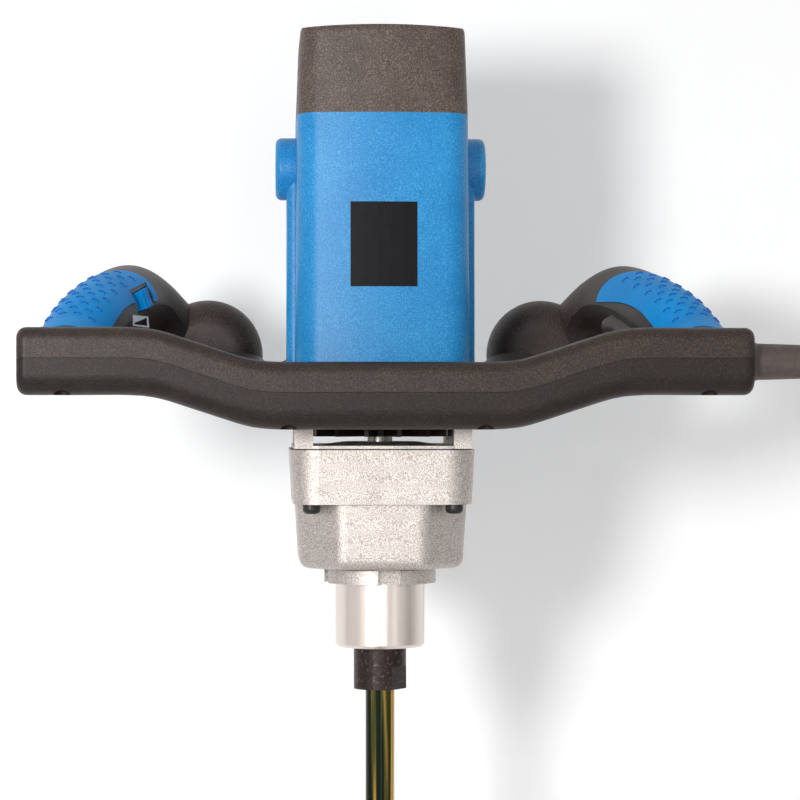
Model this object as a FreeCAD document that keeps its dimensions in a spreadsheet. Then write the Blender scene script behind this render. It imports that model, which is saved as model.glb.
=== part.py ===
import FreeCAD, Part
import math
import os

import Sketcher

Vector = FreeCAD.Vector

# Driving dimensions in millimetres, taper and turn values in degrees, counts as plain numbers.
SIZES = {
    # clamping neck and castellated ring
    "neck_diameter": 43.0,
    "neck_wall": 29.5,
    "neck_chamfer": 1.5,
    "ring_diameter": 54.0,
    "ring_height": 6.7,
    "ring_notch_width": 11.6,
    "ring_notch_depth": 4.6,
    "ring_turn": 8.0,
    "relief_diameter": 49.0,
    "relief_height": 0.8,
    # gear case
    "case_width": 78.0,
    "case_front": 36.4,
    "case_back": 55.0,
    "case_bevel": 19.0,
    "case_lower_height": 31.2,
    "case_taper": 3.5,
    "case_round": 5.0,
    "case_bevel_round": 9.0,
    "case_floor": 5.0,
    "flange_width": 84.6,
    "flange_front": 41.5,
    "flange_back": 58.5,
    "flange_corner": 12.0,
    "flange_taper": 3.3,
    "chamber_width": 58.0,
    "chamber_front": 28.0,
    "chamber_back": 44.0,
    "chamber_corner": 14.0,
    "plate_ledge": 3.0,
    "plate_thickness": 8.0,
    "plate_fit": 0.05,
    "gasket_thickness": 0.6,
    "lay_boss_wall": 3.0,
    "lay_hole": 14.0,
    "gear_side_gap": 1.6,
    "shaft_end_gap": 0.3,
    "case_screw_spread": 67.6,
    "case_screw_front": 34.0,
    "case_screw_back": 51.0,
    "case_screw_diameter": 5.0,
    "case_screw_head": 8.5,
    "case_screw_head_height": 4.5,
    "case_screw_round": 2.2,
    "screw_fit": 0.2,
    # bearings and seal
    "running_fit": 0.03,
    "neck_bearing_bore": 17.0,
    "neck_bearing_outer": 35.0,
    "neck_bearing_width": 10.0,
    "spindle_top_bearing_bore": 10.0,
    "spindle_top_bearing_outer": 26.0,
    "lay_bearing_bore": 8.0,
    "lay_bearing_outer": 22.0,
    "lay_bearing_width": 7.0,
    "motor_bearing_bore": 12.0,
    "motor_bearing_outer": 28.0,
    "motor_bearing_width": 8.0,
    "top_bearing_bore": 8.0,
    "top_bearing_outer": 22.0,
    "top_bearing_width": 7.0,
    "race_groove": 0.6,
    "seal_width": 5.5,
    "seal_inset": 0.5,
    "seal_bore": 17.4,
    "passage_diameter": 27.0,
    # gear train
    "gear_module": 1.0,
    "pinion_teeth": 10,
    "wheel_teeth": 44,
    "gear_addendum": 0.9,
    "gear_dedendum": 1.15,
    "gear_backlash": 0.2,
    "gear_gap": 1.2,
    "gear_headroom": 2.0,
    "output_gear_width": 14.0,
    "output_gear_seat": 15.0,
    "lay_gear_width": 10.0,
    "lay_gear_hub": 11.0,
    "lay_gear_lift": 2.0,
    "pinion_overlap": 0.7,
    # spindle
    "collar_diameter": 25.4,
    "collar_length": 20.0,
    "collar_gap": 0.4,
    "flats_across": 22.0,
    "flats_length": 11.0,
    "flats_turn": 55.0,
    "stud_diameter": 13.0,
    "stud_length": 18.0,
    # bearing shield with its air windows
    "shield_rim": 1.4,
    "shield_rim_inset": 1.5,
    "shield_spigot": 4.0,
    "shield_hub_drop": 7.1,
    "shield_hub_diameter": 36.0,
    "shield_hub_lip": 1.5,
    "shield_hub_hole": 20.0,
    "shield_cone_diameter": 60.0,
    "shield_cone_height": 1.6,
    "window_height": 12.2,
    "post_width": 8.6,
    "post_depth": 18.0,
    "post_inset": 2.0,
    "stack_rib": 12.0,
    "motor_screw_diameter": 4.0,
    "motor_screw_head": 6.4,
    "motor_screw_spread": 73.0,
    "motor_screw_depth": 54.0,
    "motor_screw_boss": 8.4,
    "motor_screw_head_height": 2.6,
    "motor_screw_bite": 6.0,
    "motor_screw_end": 1.5,
    # motor housing
    "housing_width": 83.0,
    "housing_depth": 92.0,
    "housing_height": 144.6,
    "housing_corner": 14.0,
    "housing_crown": 175.0,
    "housing_taper": 0.4,
    "housing_wall": 3.0,
    "housing_roof": 13.0,
    "roof_bore": 11.0,
    "roof_skin": 2.0,
    "roof_hole": 14.0,
    "roof_hole_spread": 44.0,
    "spine_width": 26.0,
    "spine_over": 90.5,
    "spine_round": 4.0,
    "brush_height": 120.9,
    "brush_boss_diameter": 30.0,
    "brush_boss_over": 101.0,
    "brush_boss_round": 3.0,
    "brush_bore": 20.0,
    # motor
    "armature_diameter": 42.0,
    "air_gap": 0.5,
    "stack_length": 60.0,
    "stack_rise": 33.6,
    "stack_diameter": 72.0,
    "shaft_diameter": 12.0,
    "winding_length": 11.0,
    "winding_diameter": 38.0,
    "coil_inner": 50.0,
    "coil_outer": 61.0,
    "coil_length": 11.0,
    "coil_reach": 33.0,
    "coil_space": 3.0,
    "coil_fit": 0.3,
    "commutator_diameter": 30.0,
    "commutator_length": 18.0,
    "fan_diameter": 70.0,
    "fan_height": 15.0,
    "fan_plate": 2.0,
    "fan_hub": 22.0,
    "fan_blade": 2.0,
    "fan_blades": 14,
    "fan_gap": 2.5,
    "baffle_thickness": 3.0,
    "baffle_hole": 54.0,
    "baffle_gap": 11.0,
    "baffle_fit": 0.1,
    "brush_width": 6.5,
    "brush_tall": 12.5,
    "brush_length": 14.0,
    "brush_gap": 0.3,
    "brush_fit": 0.1,
    "holder_wall": 1.5,
    "holder_start": 17.5,
    "holder_flange": 3.0,
    "spring_diameter": 5.0,
    "spring_wall": 1.0,
    "cap_over": 100.4,
    "cap_depth": 8.0,
    "cap_round": 1.6,
    "cap_slot": 2.4,
    "cap_slot_depth": 1.6,
    # top cap and speed controller
    "lid_height": 44.0,
    "lid_wall": 2.8,
    "lid_taper": 2.2,
    "lid_crown_radius": 380.0,
    "lid_round": 6.0,
    "lid_screw_spread_x": 56.0,
    "lid_screw_spread_y": 60.0,
    "lid_screw_diameter": 4.0,
    "lid_screw_head": 7.5,
    "lid_screw_head_height": 3.0,
    "lid_screw_bite": 8.0,
    "lid_column": 11.0,
    "lid_column_height": 30.0,
    "lid_roof": 7.0,
    "lid_slots": 4,
    "lid_slot_height": 3.0,
    "lid_slot_length": 40.0,
    "lid_slot_pitch": 7.0,
    "lid_slot_rise": 8.0,
    "controller_width": 40.0,
    "controller_depth": 46.0,
    "controller_height": 18.0,
    "controller_corner": 4.0,
    # handle frame
    "bar_length": 337.4,
    "bar_height": 31.0,
    "bar_depth": 36.0,
    "bar_middle_rise": 121.0,
    "bar_end_rise": 136.7,
    "bar_bend_inner": 60.0,
    "bar_bend_outer": 108.0,
    "bar_back": 52.0,
    "bar_seam_rise": 1.5,
    "bar_top_round": 6.0,
    "bar_bottom_round": 9.0,
    "handle_wall": 3.5,
    "seam_gap": 0.15,
    "yoke_width": 106.0,
    "yoke_front": 56.0,
    "yoke_back": 57.0,
    "yoke_corner": 22.0,
    "yoke_top": 13.5,
    "yoke_fit": 0.3,
    "loop_width": 35.0,
    "loop_height": 37.0,
    "loop_reach": 146.0,
    "loop_sweep": 136.0,
    "loop_rise": 29.0,
    "bar_bend_blend": 10.0,
    "bar_end_round": 4.5,
    "knuckle_x": 84.0,
    "knuckle_y": 63.0,
    "knuckle_rise": 5.0,
    "knuckle_radius": 27.5,
    "knuckle_width": 29.0,
    "pad_thickness": 2.3,
    "pad_proud": 0.5,
    "pad_fit": 0.15,
    "pad_end_x": 108.5,
    "pad_end_y": 23.0,
    "pad_end_slant": 33.0,
    "pad_end_reach": 70.0,
    "shell_screw_diameter": 3.5,
    "shell_screw_head": 7.0,
    "shell_screw_head_height": 2.5,
    "shell_screw_inner": 45.0,
    "shell_screw_outer": 148.0,
    "shell_screw_set": 81.0,
    "shell_boss": 11.0,
    "shell_recess": 8.0,
    "shell_recess_depth": 11.0,
    "shell_screw_bite": 10.0,
    "yoke_screw_diameter": 5.0,
    "yoke_screw_head": 9.0,
    "yoke_screw_head_height": 4.0,
    "yoke_screw_spread": 54.0,
    "yoke_screw_bite": 4.0,
    "yoke_boss": 11.0,
    # trigger, switch and speed wheel
    "trigger_length": 42.0,
    "trigger_width": 15.0,
    "trigger_proud": 7.0,
    "trigger_root": 7.0,
    "trigger_dip": 2.5,
    "trigger_round": 2.0,
    "trigger_lean": 35.0,
    "trigger_stroke": 5.0,
    "trigger_fit": 0.35,
    "switch_length": 34.0,
    "switch_width": 15.0,
    "switch_depth": 12.0,
    "switch_fit": 0.15,
    "wheel_diameter": 24.0,
    "wheel_thickness": 9.0,
    "wheel_proud": 3.0,
    "wheel_lean": 17.0,
    "wheel_fit": 0.5,
    "wheel_pin": 5.0,
    "wheel_rib": 1.2,
    "wheel_ribs": 24,
    "dial_width": 14.0,
    "dial_thickness": 5.0,
    "dial_back": 8.0,
    "dial_front": 3.0,
    "wheel_surround": 1.6,
    # suppressor and cord clamp
    "capacitor_diameter": 14.0,
    "capacitor_length": 26.0,
    "capacitor_fit": 0.2,
    "clamp_width": 20.0,
    "clamp_length": 12.0,
    "clamp_cover": 3.0,
    "clamp_place": 122.0,
    "inner_cord_length": 42.0,
    # cord boot, cord and plug
    "boot_flange": 20.5,
    "boot_flange_length": 3.0,
    "boot_diameter": 17.0,
    "boot_end_diameter": 13.5,
    "boot_length": 59.0,
    "boot_groove": 14.0,
    "boot_lock": 20.0,
    "boot_lock_length": 4.0,
    "boot_fit": 0.1,
    "cord_diameter": 9.0,
    "coil_turn_inner": 38.0,
    "coil_turn_outer": 62.0,
    "coil_layer": 9.7,
    "coil_spiral_turns": 2.4375,
    "tie_width": 14.0,
    "tie_thickness": 2.0,
    "tie_fit": 0.2,
    "plug_length": 46.0,
    "plug_width": 36.0,
    "plug_depth": 22.0,
    "plug_neck": 13.0,
    "plug_neck_length": 14.0,
    "plug_round": 7.0,
    "plug_pin_diameter": 4.8,
    "plug_pin_length": 19.0,
    "plug_pin_spread": 19.0,
    # paddle
    "rod_diameter": 14.0,
    "rod_length": 520.0,
    "basket_diameter": 124.0,
    "basket_drop": 568.0,
    "basket_height": 178.0,
    "blade_width": 22.0,
    "blade_thickness": 5.0,
    "blade_twist": 210.0,
    "blades": 3,
    "hoop_height": 8.0,
    "hoop_wall": 6.0,
    # one overrun serves every cut
    "overrun": 1.0,
    "most_share": 0.8,
}

doc = FreeCAD.newDocument("mixing_drill")
sheet = doc.addObject("Spreadsheet::Sheet", "Sizes")
for row, (alias, value) in enumerate(SIZES.items(), start=1):
    sheet.set(f"A{row}", alias)
    sheet.set(f"B{row}", str(value))
    sheet.setAlias(f"B{row}", alias)
doc.recompute()


class Size:
    """A length, angle or count: its number, and the sheet expression that gives it."""

    def __init__(self, value, text):
        self.value = value
        self.text = text

    def __float__(self):
        return float(self.value)

    def __int__(self):
        return int(self.value)

    def __neg__(self):
        return Size(-self.value, f"(0 - {self.text})")

    def __add__(self, other):
        other = as_size(other)
        return Size(self.value + other.value, f"({self.text} + {other.text})")

    __radd__ = __add__

    def __sub__(self, other):
        other = as_size(other)
        return Size(self.value - other.value, f"({self.text} - {other.text})")

    def __rsub__(self, other):
        return as_size(other) - self

    def __mul__(self, other):
        other = as_size(other)
        return Size(self.value * other.value, f"({self.text} * {other.text})")

    __rmul__ = __mul__

    def __truediv__(self, other):
        other = as_size(other)
        return Size(self.value / other.value, f"({self.text} / {other.text})")


def as_size(number):
    return number if isinstance(number, Size) else Size(number, str(number))


class Sheet:
    """The sheet's cells by alias."""

    def __getattr__(self, alias):
        return Size(sheet.get(alias), f"Sizes.{alias}")


S = Sheet()
nodes = {}


def node(label, thing):
    """Name a finished sub-part, which is then one of the files written at the end."""
    thing.Label = label
    nodes[label] = thing
    return thing


def bind(thing, path, size):
    thing.setExpression(path, as_size(size).text)


def place(thing, x, y, z):
    bind(thing, "Placement.Base.x", x)
    bind(thing, "Placement.Base.y", y)
    bind(thing, "Placement.Base.z", z)
    return thing


TURNS = {
    "z": FreeCAD.Rotation(),
    "x": FreeCAD.Rotation(Vector(0, 1, 0), 90),
    "y": FreeCAD.Rotation(Vector(1, 0, 0), -90),
}


def box(name, x, y, z):
    """A box between two ends on each axis."""
    thing = doc.addObject("Part::Box", name)
    for path, (low, high) in (("Length", x), ("Width", y), ("Height", z)):
        bind(thing, path, as_size(high) - low)
    return place(thing, x[0], y[0], z[0])


def cylinder(name, diameter, start, length, along="z"):
    """A cylinder from its start point along a positive axis."""
    thing = doc.addObject("Part::Cylinder", name)
    thing.Placement = FreeCAD.Placement(Vector(), TURNS[along])
    bind(thing, "Radius", as_size(diameter) / 2)
    bind(thing, "Height", length)
    return place(thing, *start)


def spun_box(name, x, y, z, turn):
    """A box turned about the vertical axis through the origin."""
    thing = box(name, x, y, z)
    cosine = Size(math.cos(math.radians(float(turn))), f"cos({as_size(turn).text})")
    sine = Size(math.sin(math.radians(float(turn))), f"sin({as_size(turn).text})")
    bind(thing, "Placement.Rotation.Angle", turn)
    return place(thing, cosine * x[0] - sine * y[0], sine * x[0] + cosine * y[0], z[0])


def sector(name, inner, outer, start, sweep, bottom, height):
    """Part of a ring about the vertical axis, from a start angle through a sweep."""
    outside = cylinder(f"{name}_outside", outer, (0, 0, bottom), height)
    bind(outside, "Angle", sweep)
    bind(outside, "Placement.Rotation.Angle", start)
    inside = cylinder(f"{name}_inside", inner, (0, 0, as_size(bottom) - S.overrun), height + 2 * S.overrun)
    return cut(name, outside, inside)


def fuse(name, *pieces):
    thing = doc.addObject("Part::MultiFuse", name)
    thing.Shapes = list(pieces)
    return thing


def cut(name, base, *tools):
    thing = doc.addObject("Part::Cut", name)
    thing.Base = base
    thing.Tool = tools[0] if len(tools) == 1 else fuse(f"{name}_tools", *tools)
    return thing


def common(name, first, second):
    thing = doc.addObject("Part::Common", name)
    thing.Base = first
    thing.Tool = second
    return thing


def group(name, pieces):
    thing = doc.addObject("Part::Compound", name)
    thing.Links = list(pieces)
    return thing


def sketch_outline(body, role, corners, lift=0):
    """A closed outline on an origin plane: corners are (x, y, radius of the arc to the next corner or None)."""
    sketch = body.newObject("Sketcher::SketchObject", f"{body.Name}_sketch")
    plane = next(item for item in body.Origin.OriginFeatures if item.Role == role)
    sketch.AttachmentSupport = [(plane, "")]
    sketch.MapMode = "FlatFace"
    bind(sketch, "AttachmentOffset.Base.z", lift)
    count = len(corners)
    for index, (x, y, radius) in enumerate(corners):
        start = Vector(float(x), float(y), 0)
        following = corners[(index + 1) % count]
        end = Vector(float(following[0]), float(following[1]), 0)
        if radius is None:
            sketch.addGeometry(Part.LineSegment(start, end))
        else:
            sketch.addGeometry(arc_between(start, end, float(radius)))
    for index in range(count):
        following = (index + 1) % count
        sketch.addConstraint(Sketcher.Constraint("Coincident", index, 2, following, 1))
    for index, (x, y, radius) in enumerate(corners):
        for kind, size in (("DistanceX", x), ("DistanceY", y)):
            number = sketch.addConstraint(Sketcher.Constraint(kind, -1, 1, index, 1, float(size)))
            bind(sketch, f"Constraints[{number}]", size)
        if radius is not None:
            number = sketch.addConstraint(Sketcher.Constraint("Radius", index, float(radius)))
            bind(sketch, f"Constraints[{number}]", radius)
    return sketch


def arc_between(start, end, radius):
    """The short arc that bulges to the right of the way from start to end."""
    chord = end - start
    middle = (start + end) / 2
    inward = Vector(-chord.y, chord.x, 0).normalize()
    centre = middle + inward * math.sqrt(max(radius**2 - (chord.Length / 2) ** 2, 0))
    first = math.atan2(start.y - centre.y, start.x - centre.x)
    last = math.atan2(end.y - centre.y, end.x - centre.x)
    return Part.ArcOfCircle(Part.Circle(centre, Vector(0, 0, 1), radius), first, last)


def prism(name, corners, bottom, height, taper=None):
    """An outline padded upwards, with an outward taper where one is given."""
    body = doc.addObject("PartDesign::Body", name)
    sketch = sketch_outline(body, "XY_Plane", corners, bottom)
    pad = body.newObject("PartDesign::Pad", f"{name}_pad")
    pad.Profile = sketch
    bind(pad, "Length", height)
    if taper is not None:
        bind(pad, "TaperAngle", taper)
    return body


def turned(name, profile):
    """A profile of (radius, height) points, each with an arc's radius or none, turned about the vertical axis."""
    body = doc.addObject("PartDesign::Body", name)
    corners = [(*point, None) if len(point) == 2 else point for point in profile]
    sketch = sketch_outline(body, "XZ_Plane", corners)
    turn = body.newObject("PartDesign::Revolution", f"{name}_turn")
    turn.Profile = sketch
    turn.ReferenceAxis = (sketch, ["V_Axis"])
    turn.Angle = 360
    return body


def round_edges(body, radius, chosen):
    """A fillet on the edges of the body's last feature that the test picks."""
    doc.recompute()
    tip = body.Tip
    names = [f"Edge{number}" for number, edge in enumerate(tip.Shape.Edges, start=1) if chosen(edge)]
    fillet = body.newObject("PartDesign::Fillet", f"{body.Name}_round")
    fillet.Base = (tip, names)
    bind(fillet, "Radius", radius)
    return body


NEAR = 1e-4


def lies_at(height):
    """A test for edges that lie flat at one height."""
    level = float(height)
    return lambda edge: abs(edge.BoundBox.ZMin - level) < NEAR and abs(edge.BoundBox.ZMax - level) < NEAR


def rises(height):
    """A test for edges that climb most of one height."""
    least = float(height) * float(S.most_share)
    return lambda edge: edge.BoundBox.ZLength > least


def rounded_rectangle(left, right, front, back, corner):
    """Corners of a rectangle with round corners, anticlockwise from above."""
    return [
        (left + corner, front, None),
        (right - corner, front, corner),
        (right, front + corner, None),
        (right, back - corner, corner),
        (right - corner, back, None),
        (left + corner, back, corner),
        (left, back - corner, None),
        (left, front + corner, corner),
    ]


def bevelled_rectangle(left, right, front, back, bevel):
    """Corners of a rectangle with cut corners, anticlockwise from above."""
    return [
        (left + bevel, front, None),
        (right - bevel, front, None),
        (right, front + bevel, None),
        (right, back - bevel, None),
        (right - bevel, back, None),
        (left + bevel, back, None),
        (left, back - bevel, None),
        (left, front + bevel, None),
    ]


def root(size):
    return Size(math.sqrt(size.value), f"sqrt({size.text})")


def tangent(angle):
    return Size(math.tan(math.radians(float(angle))), f"tan({angle.text})")


def crowned_rectangle(width, depth, corner, crown):
    """A rectangle about the axis with round corners, whose front and back are arcs of the crown radius."""
    half_width = width / 2
    across = half_width - corner
    reach = crown - corner
    drop = root(reach * reach - across * across)
    centre = crown - depth / 2
    corner_y = centre - drop
    touch_x = across * crown / reach
    touch_y = centre - drop * crown / reach
    return [
        (-touch_x, touch_y, crown),
        (touch_x, touch_y, corner),
        (half_width, corner_y, None),
        (half_width, -corner_y, corner),
        (touch_x, -touch_y, crown),
        (-touch_x, -touch_y, corner),
        (-half_width, -corner_y, None),
        (-half_width, corner_y, corner),
    ]


# Heights of the stack, from the neck's foot to the top cap. The origin is the middle of the neck's wall.
SHOULDER = S.neck_wall / 2
NECK_FOOT = -(S.neck_wall / 2) - S.neck_chamfer
CASE_BOTTOM = SHOULDER + S.ring_height + S.relief_height
CASE_STEP = CASE_BOTTOM + S.case_lower_height
FLOOR = CASE_BOTTOM + S.case_floor
OUTPUT_GEAR_BOTTOM = FLOOR + S.lay_bearing_width + S.gear_gap
OUTPUT_GEAR_TOP = OUTPUT_GEAR_BOTTOM + S.output_gear_width
PLATE_BOTTOM = OUTPUT_GEAR_TOP + S.gear_gap
PLATE_TOP = PLATE_BOTTOM + S.plate_thickness
LAY_GEAR_BOTTOM = PLATE_TOP + S.lay_gear_lift
LAY_GEAR_TOP = LAY_GEAR_BOTTOM + S.lay_gear_width
HUB_BOTTOM = LAY_GEAR_TOP + S.gear_headroom
SHIELD_BOTTOM = HUB_BOTTOM + S.shield_hub_drop
CASE_TOP = SHIELD_BOTTOM - S.gasket_thickness
SHIELD_TOP = SHIELD_BOTTOM + S.shield_rim
MOTOR_BEARING_BOTTOM = HUB_BOTTOM + S.shield_hub_lip
MOTOR_BEARING_TOP = MOTOR_BEARING_BOTTOM + S.motor_bearing_width
HOUSING_BOTTOM = SHIELD_TOP + S.window_height
HOUSING_TOP = HOUSING_BOTTOM + S.housing_height
ROOF_BOTTOM = HOUSING_TOP - S.housing_roof
FAN_BOTTOM = SHIELD_TOP + S.shield_cone_height + S.fan_gap
FAN_TOP = FAN_BOTTOM + S.fan_height
BAFFLE_BOTTOM = FAN_TOP + S.baffle_gap
STACK_BOTTOM = HOUSING_BOTTOM + S.stack_rise
STACK_TOP = STACK_BOTTOM + S.stack_length
BRUSH_LEVEL = HOUSING_BOTTOM + S.brush_height
TOP_BEARING_TOP = HOUSING_TOP - S.roof_skin
TOP_BEARING_BOTTOM = TOP_BEARING_TOP - S.top_bearing_width
GEAR_CENTRES = S.gear_module * (S.pinion_teeth + S.wheel_teeth) / 2
SPINDLE_FOOT = NECK_FOOT - S.collar_gap - S.collar_length
COLLAR_TOP = NECK_FOOT - S.collar_gap
BAR_MIDDLE = NECK_FOOT + S.bar_middle_rise
BAR_END = NECK_FOOT + S.bar_end_rise



FLANGE_DRAFT = (CASE_TOP - CASE_STEP) * tangent(S.flange_taper)
HOUSING_DRAFT = S.housing_height * tangent(S.housing_taper)
WHEEL_TIP = S.gear_module * (S.wheel_teeth / 2 + S.gear_addendum)
CAVITY_WIDTH = S.chamber_width + 2 * S.plate_ledge
CAVITY_BACK = GEAR_CENTRES + WHEEL_TIP + S.gear_side_gap
SIDES = {"left": -1, "right": 1}


def cavity_outline(inset):
    """The gear case's upper hollow, drawn in by an inset."""
    half = CAVITY_WIDTH / 2 - inset
    front = -(S.chamber_front + S.plate_ledge - inset)
    corner = S.chamber_corner + S.plate_ledge - inset
    return rounded_rectangle(-half, half, front, CAVITY_BACK - inset, corner)


def case_top_outline(inset):
    """The gear case's top edge, drawn in by an inset."""
    grow = FLANGE_DRAFT - inset
    half = S.flange_width / 2 + grow
    return rounded_rectangle(-half, half, -(S.flange_front + grow), S.flange_back + grow, S.flange_corner + grow)


def case_screw_places():
    half = S.case_screw_spread / 2
    return [(half * side, y) for side in (-1, 1) for y in (-S.case_screw_front, S.case_screw_back)]


def motor_screw_places():
    half = S.motor_screw_spread / 2
    deep = S.motor_screw_depth / 2
    return [(half * side, deep * end) for side in (-1, 1) for end in (-1, 1)]


# Gear case: one casting with its turned neck, castellated ring, bevelled lower half and flange block.
def make_gear_case():
    half = S.case_width / 2
    outline = bevelled_rectangle(-half, half, -S.case_front, S.case_back, S.case_bevel)
    lower = prism("case_lower", outline, CASE_BOTTOM, S.case_lower_height, S.case_taper)
    round_edges(lower, S.case_bevel_round, rises(S.case_lower_height))
    round_edges(lower, S.case_round, lies_at(CASE_BOTTOM))
    half = S.flange_width / 2
    outline = rounded_rectangle(-half, half, -S.flange_front, S.flange_back, S.flange_corner)
    flange = prism("case_flange", outline, CASE_STEP, CASE_TOP - CASE_STEP, S.flange_taper)
    neck_radius = S.neck_diameter / 2
    ring_top = SHOULDER + S.ring_height
    neck = turned("case_neck", [
        (0, NECK_FOOT),
        (neck_radius - S.neck_chamfer, NECK_FOOT),
        (neck_radius, NECK_FOOT + S.neck_chamfer),
        (neck_radius, SHOULDER),
        (S.ring_diameter / 2, SHOULDER),
        (S.ring_diameter / 2, ring_top),
        (S.relief_diameter / 2, ring_top),
        (S.relief_diameter / 2, CASE_BOTTOM + S.case_floor / 2),
        (0, CASE_BOTTOM + S.case_floor / 2),
    ])
    notch_foot = S.ring_diameter / 2 - S.ring_notch_depth
    notch_end = S.ring_diameter / 2 + S.overrun
    notch = (-S.ring_notch_width / 2, S.ring_notch_width / 2)
    notches = [
        spun_box(f"ring_notch_{turn}", (notch_foot, notch_end), notch, (SHOULDER, ring_top), S.ring_turn + turn)
        for turn in range(0, 360, 90)
    ]
    half = S.chamber_width / 2
    chamber_outline = rounded_rectangle(-half, half, -S.chamber_front, S.chamber_back, S.chamber_corner)
    chamber = prism("case_chamber", chamber_outline, FLOOR, PLATE_BOTTOM - FLOOR + S.overrun)
    cavity = prism("case_cavity", cavity_outline(0), PLATE_BOTTOM, CASE_TOP - PLATE_BOTTOM + S.overrun)
    bore_top = NECK_FOOT + S.seal_inset + S.seal_width + S.neck_bearing_width
    below = NECK_FOOT - S.overrun
    bore = cylinder("neck_bore", S.neck_bearing_outer, (0, 0, below), bore_top - below)
    passage = cylinder("neck_passage", S.passage_diameter, (0, 0, below), FLOOR - below + S.overrun)
    holes = [
        cylinder(f"case_hole_{number}", S.case_screw_diameter + 2 * S.screw_fit, (x, y, CASE_STEP - S.overrun),
                 CASE_TOP - CASE_STEP + 2 * S.overrun)
        for number, (x, y) in enumerate(case_screw_places())
    ]
    casting = cut("casting", fuse("case_blank", lower, flange, neck), *notches, chamber, cavity, bore, passage, *holes)
    boss_start = (0, GEAR_CENTRES, FLOOR - S.case_floor / 2)
    boss_height = S.case_floor / 2 + S.lay_bearing_width
    boss = cylinder("lay_boss", S.lay_bearing_outer + 2 * S.lay_boss_wall, boss_start, boss_height)
    seat = cylinder("lay_seat", S.lay_bearing_outer, (0, GEAR_CENTRES, FLOOR), S.lay_bearing_width + S.overrun)
    spindle_room = cylinder("spindle_room", S.passage_diameter, (0, 0, FLOOR), S.lay_bearing_width + S.overrun)
    node("gear_case", cut("gear_case_solid", fuse("case_with_boss", casting, boss), seat, spindle_room))


def make_case_screws():
    for_each = []
    for number, (x, y) in enumerate(case_screw_places()):
        radius = S.case_screw_head / 2
        low = CASE_STEP - S.case_screw_head_height
        head = turned(f"case_screw_head_{number}", [
            (0, low), (radius - S.case_screw_round, low, S.case_screw_round), (radius, low + S.case_screw_round),
            (radius, CASE_STEP), (0, CASE_STEP),
        ])
        place(head, x, y, 0)
        shank = cylinder(f"case_screw_shank_{number}", S.case_screw_diameter, (x, y, CASE_STEP), SHIELD_TOP - CASE_STEP)
        for_each.append(fuse(f"case_screw_{number}", head, shank))
    node("gear_case_screws", group("gear_case_screw_set", for_each))


# Bearing plate between the two gear stages, seated on the case's ledge.
def make_bearing_plate():
    blank = prism("plate_blank", cavity_outline(S.plate_fit), PLATE_BOTTOM, S.plate_thickness)
    below = PLATE_BOTTOM - S.overrun
    through = S.plate_thickness + 2 * S.overrun
    spindle_seat = cylinder("plate_spindle_seat", S.spindle_top_bearing_outer, (0, 0, below), through)
    lay_start = (0, GEAR_CENTRES, PLATE_TOP - S.lay_bearing_width)
    lay_seat = cylinder("plate_lay_seat", S.lay_bearing_outer, lay_start, S.lay_bearing_width + S.overrun)
    lay_hole = cylinder("plate_lay_hole", S.lay_hole, (0, GEAR_CENTRES, below), through)
    node("bearing_plate", cut("bearing_plate_solid", blank, spindle_seat, lay_seat, lay_hole))


RACE_SHARES = (0.28, 0.72)


def bearing(label, bore, outer, width, x, y, z):
    """A sealed ball bearing: a ring whose shields lie a little below its two races."""
    inner_radius = bore / 2
    outer_radius = outer / 2
    inner_race = inner_radius + (outer_radius - inner_radius) * RACE_SHARES[0]
    outer_race = inner_radius + (outer_radius - inner_radius) * RACE_SHARES[1]
    shield = width - S.race_groove
    body = turned(label, [
        (inner_radius, 0), (inner_race, 0), (inner_race, S.race_groove), (outer_race, S.race_groove),
        (outer_race, 0), (outer_radius, 0), (outer_radius, width), (outer_race, width), (outer_race, shield),
        (inner_race, shield), (inner_race, width), (inner_radius, width),
    ])
    node(label, place(body, x, y, z))


def make_bearings():
    neck_level = NECK_FOOT + S.seal_inset + S.seal_width
    lay_upper = PLATE_TOP - S.lay_bearing_width
    bearing("neck_bearing", S.neck_bearing_bore, S.neck_bearing_outer, S.neck_bearing_width, 0, 0, neck_level)
    bearing("spindle_top_bearing", S.spindle_top_bearing_bore, S.spindle_top_bearing_outer, S.plate_thickness,
            0, 0, PLATE_BOTTOM)
    for label, level in (("layshaft_lower_bearing", FLOOR), ("layshaft_upper_bearing", lay_upper)):
        bearing(label, S.lay_bearing_bore, S.lay_bearing_outer, S.lay_bearing_width, 0, GEAR_CENTRES, level)
    bearing("motor_lower_bearing", S.motor_bearing_bore, S.motor_bearing_outer, S.motor_bearing_width,
            0, 0, MOTOR_BEARING_BOTTOM)
    bearing("motor_upper_bearing", S.top_bearing_bore, S.top_bearing_outer, S.top_bearing_width,
            0, 0, TOP_BEARING_BOTTOM)


LIP_SHARE = 0.35


def make_neck_seal():
    inner = S.seal_bore / 2
    outer = S.neck_bearing_outer / 2
    lip = inner + (outer - inner) * LIP_SHARE
    level = NECK_FOOT + S.seal_inset
    node("neck_seal", turned("neck_seal_ring", [
        (inner, level), (lip, level), (lip, level + S.race_groove), (outer, level + S.race_groove),
        (outer, level + S.seal_width), (inner, level + S.seal_width),
    ]))


# Gears: involute flanks at a 25 degree pressure angle, radial below the base circle.
PRESSURE_ANGLE = math.radians(25)
FLANK_STEPS = 5


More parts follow.
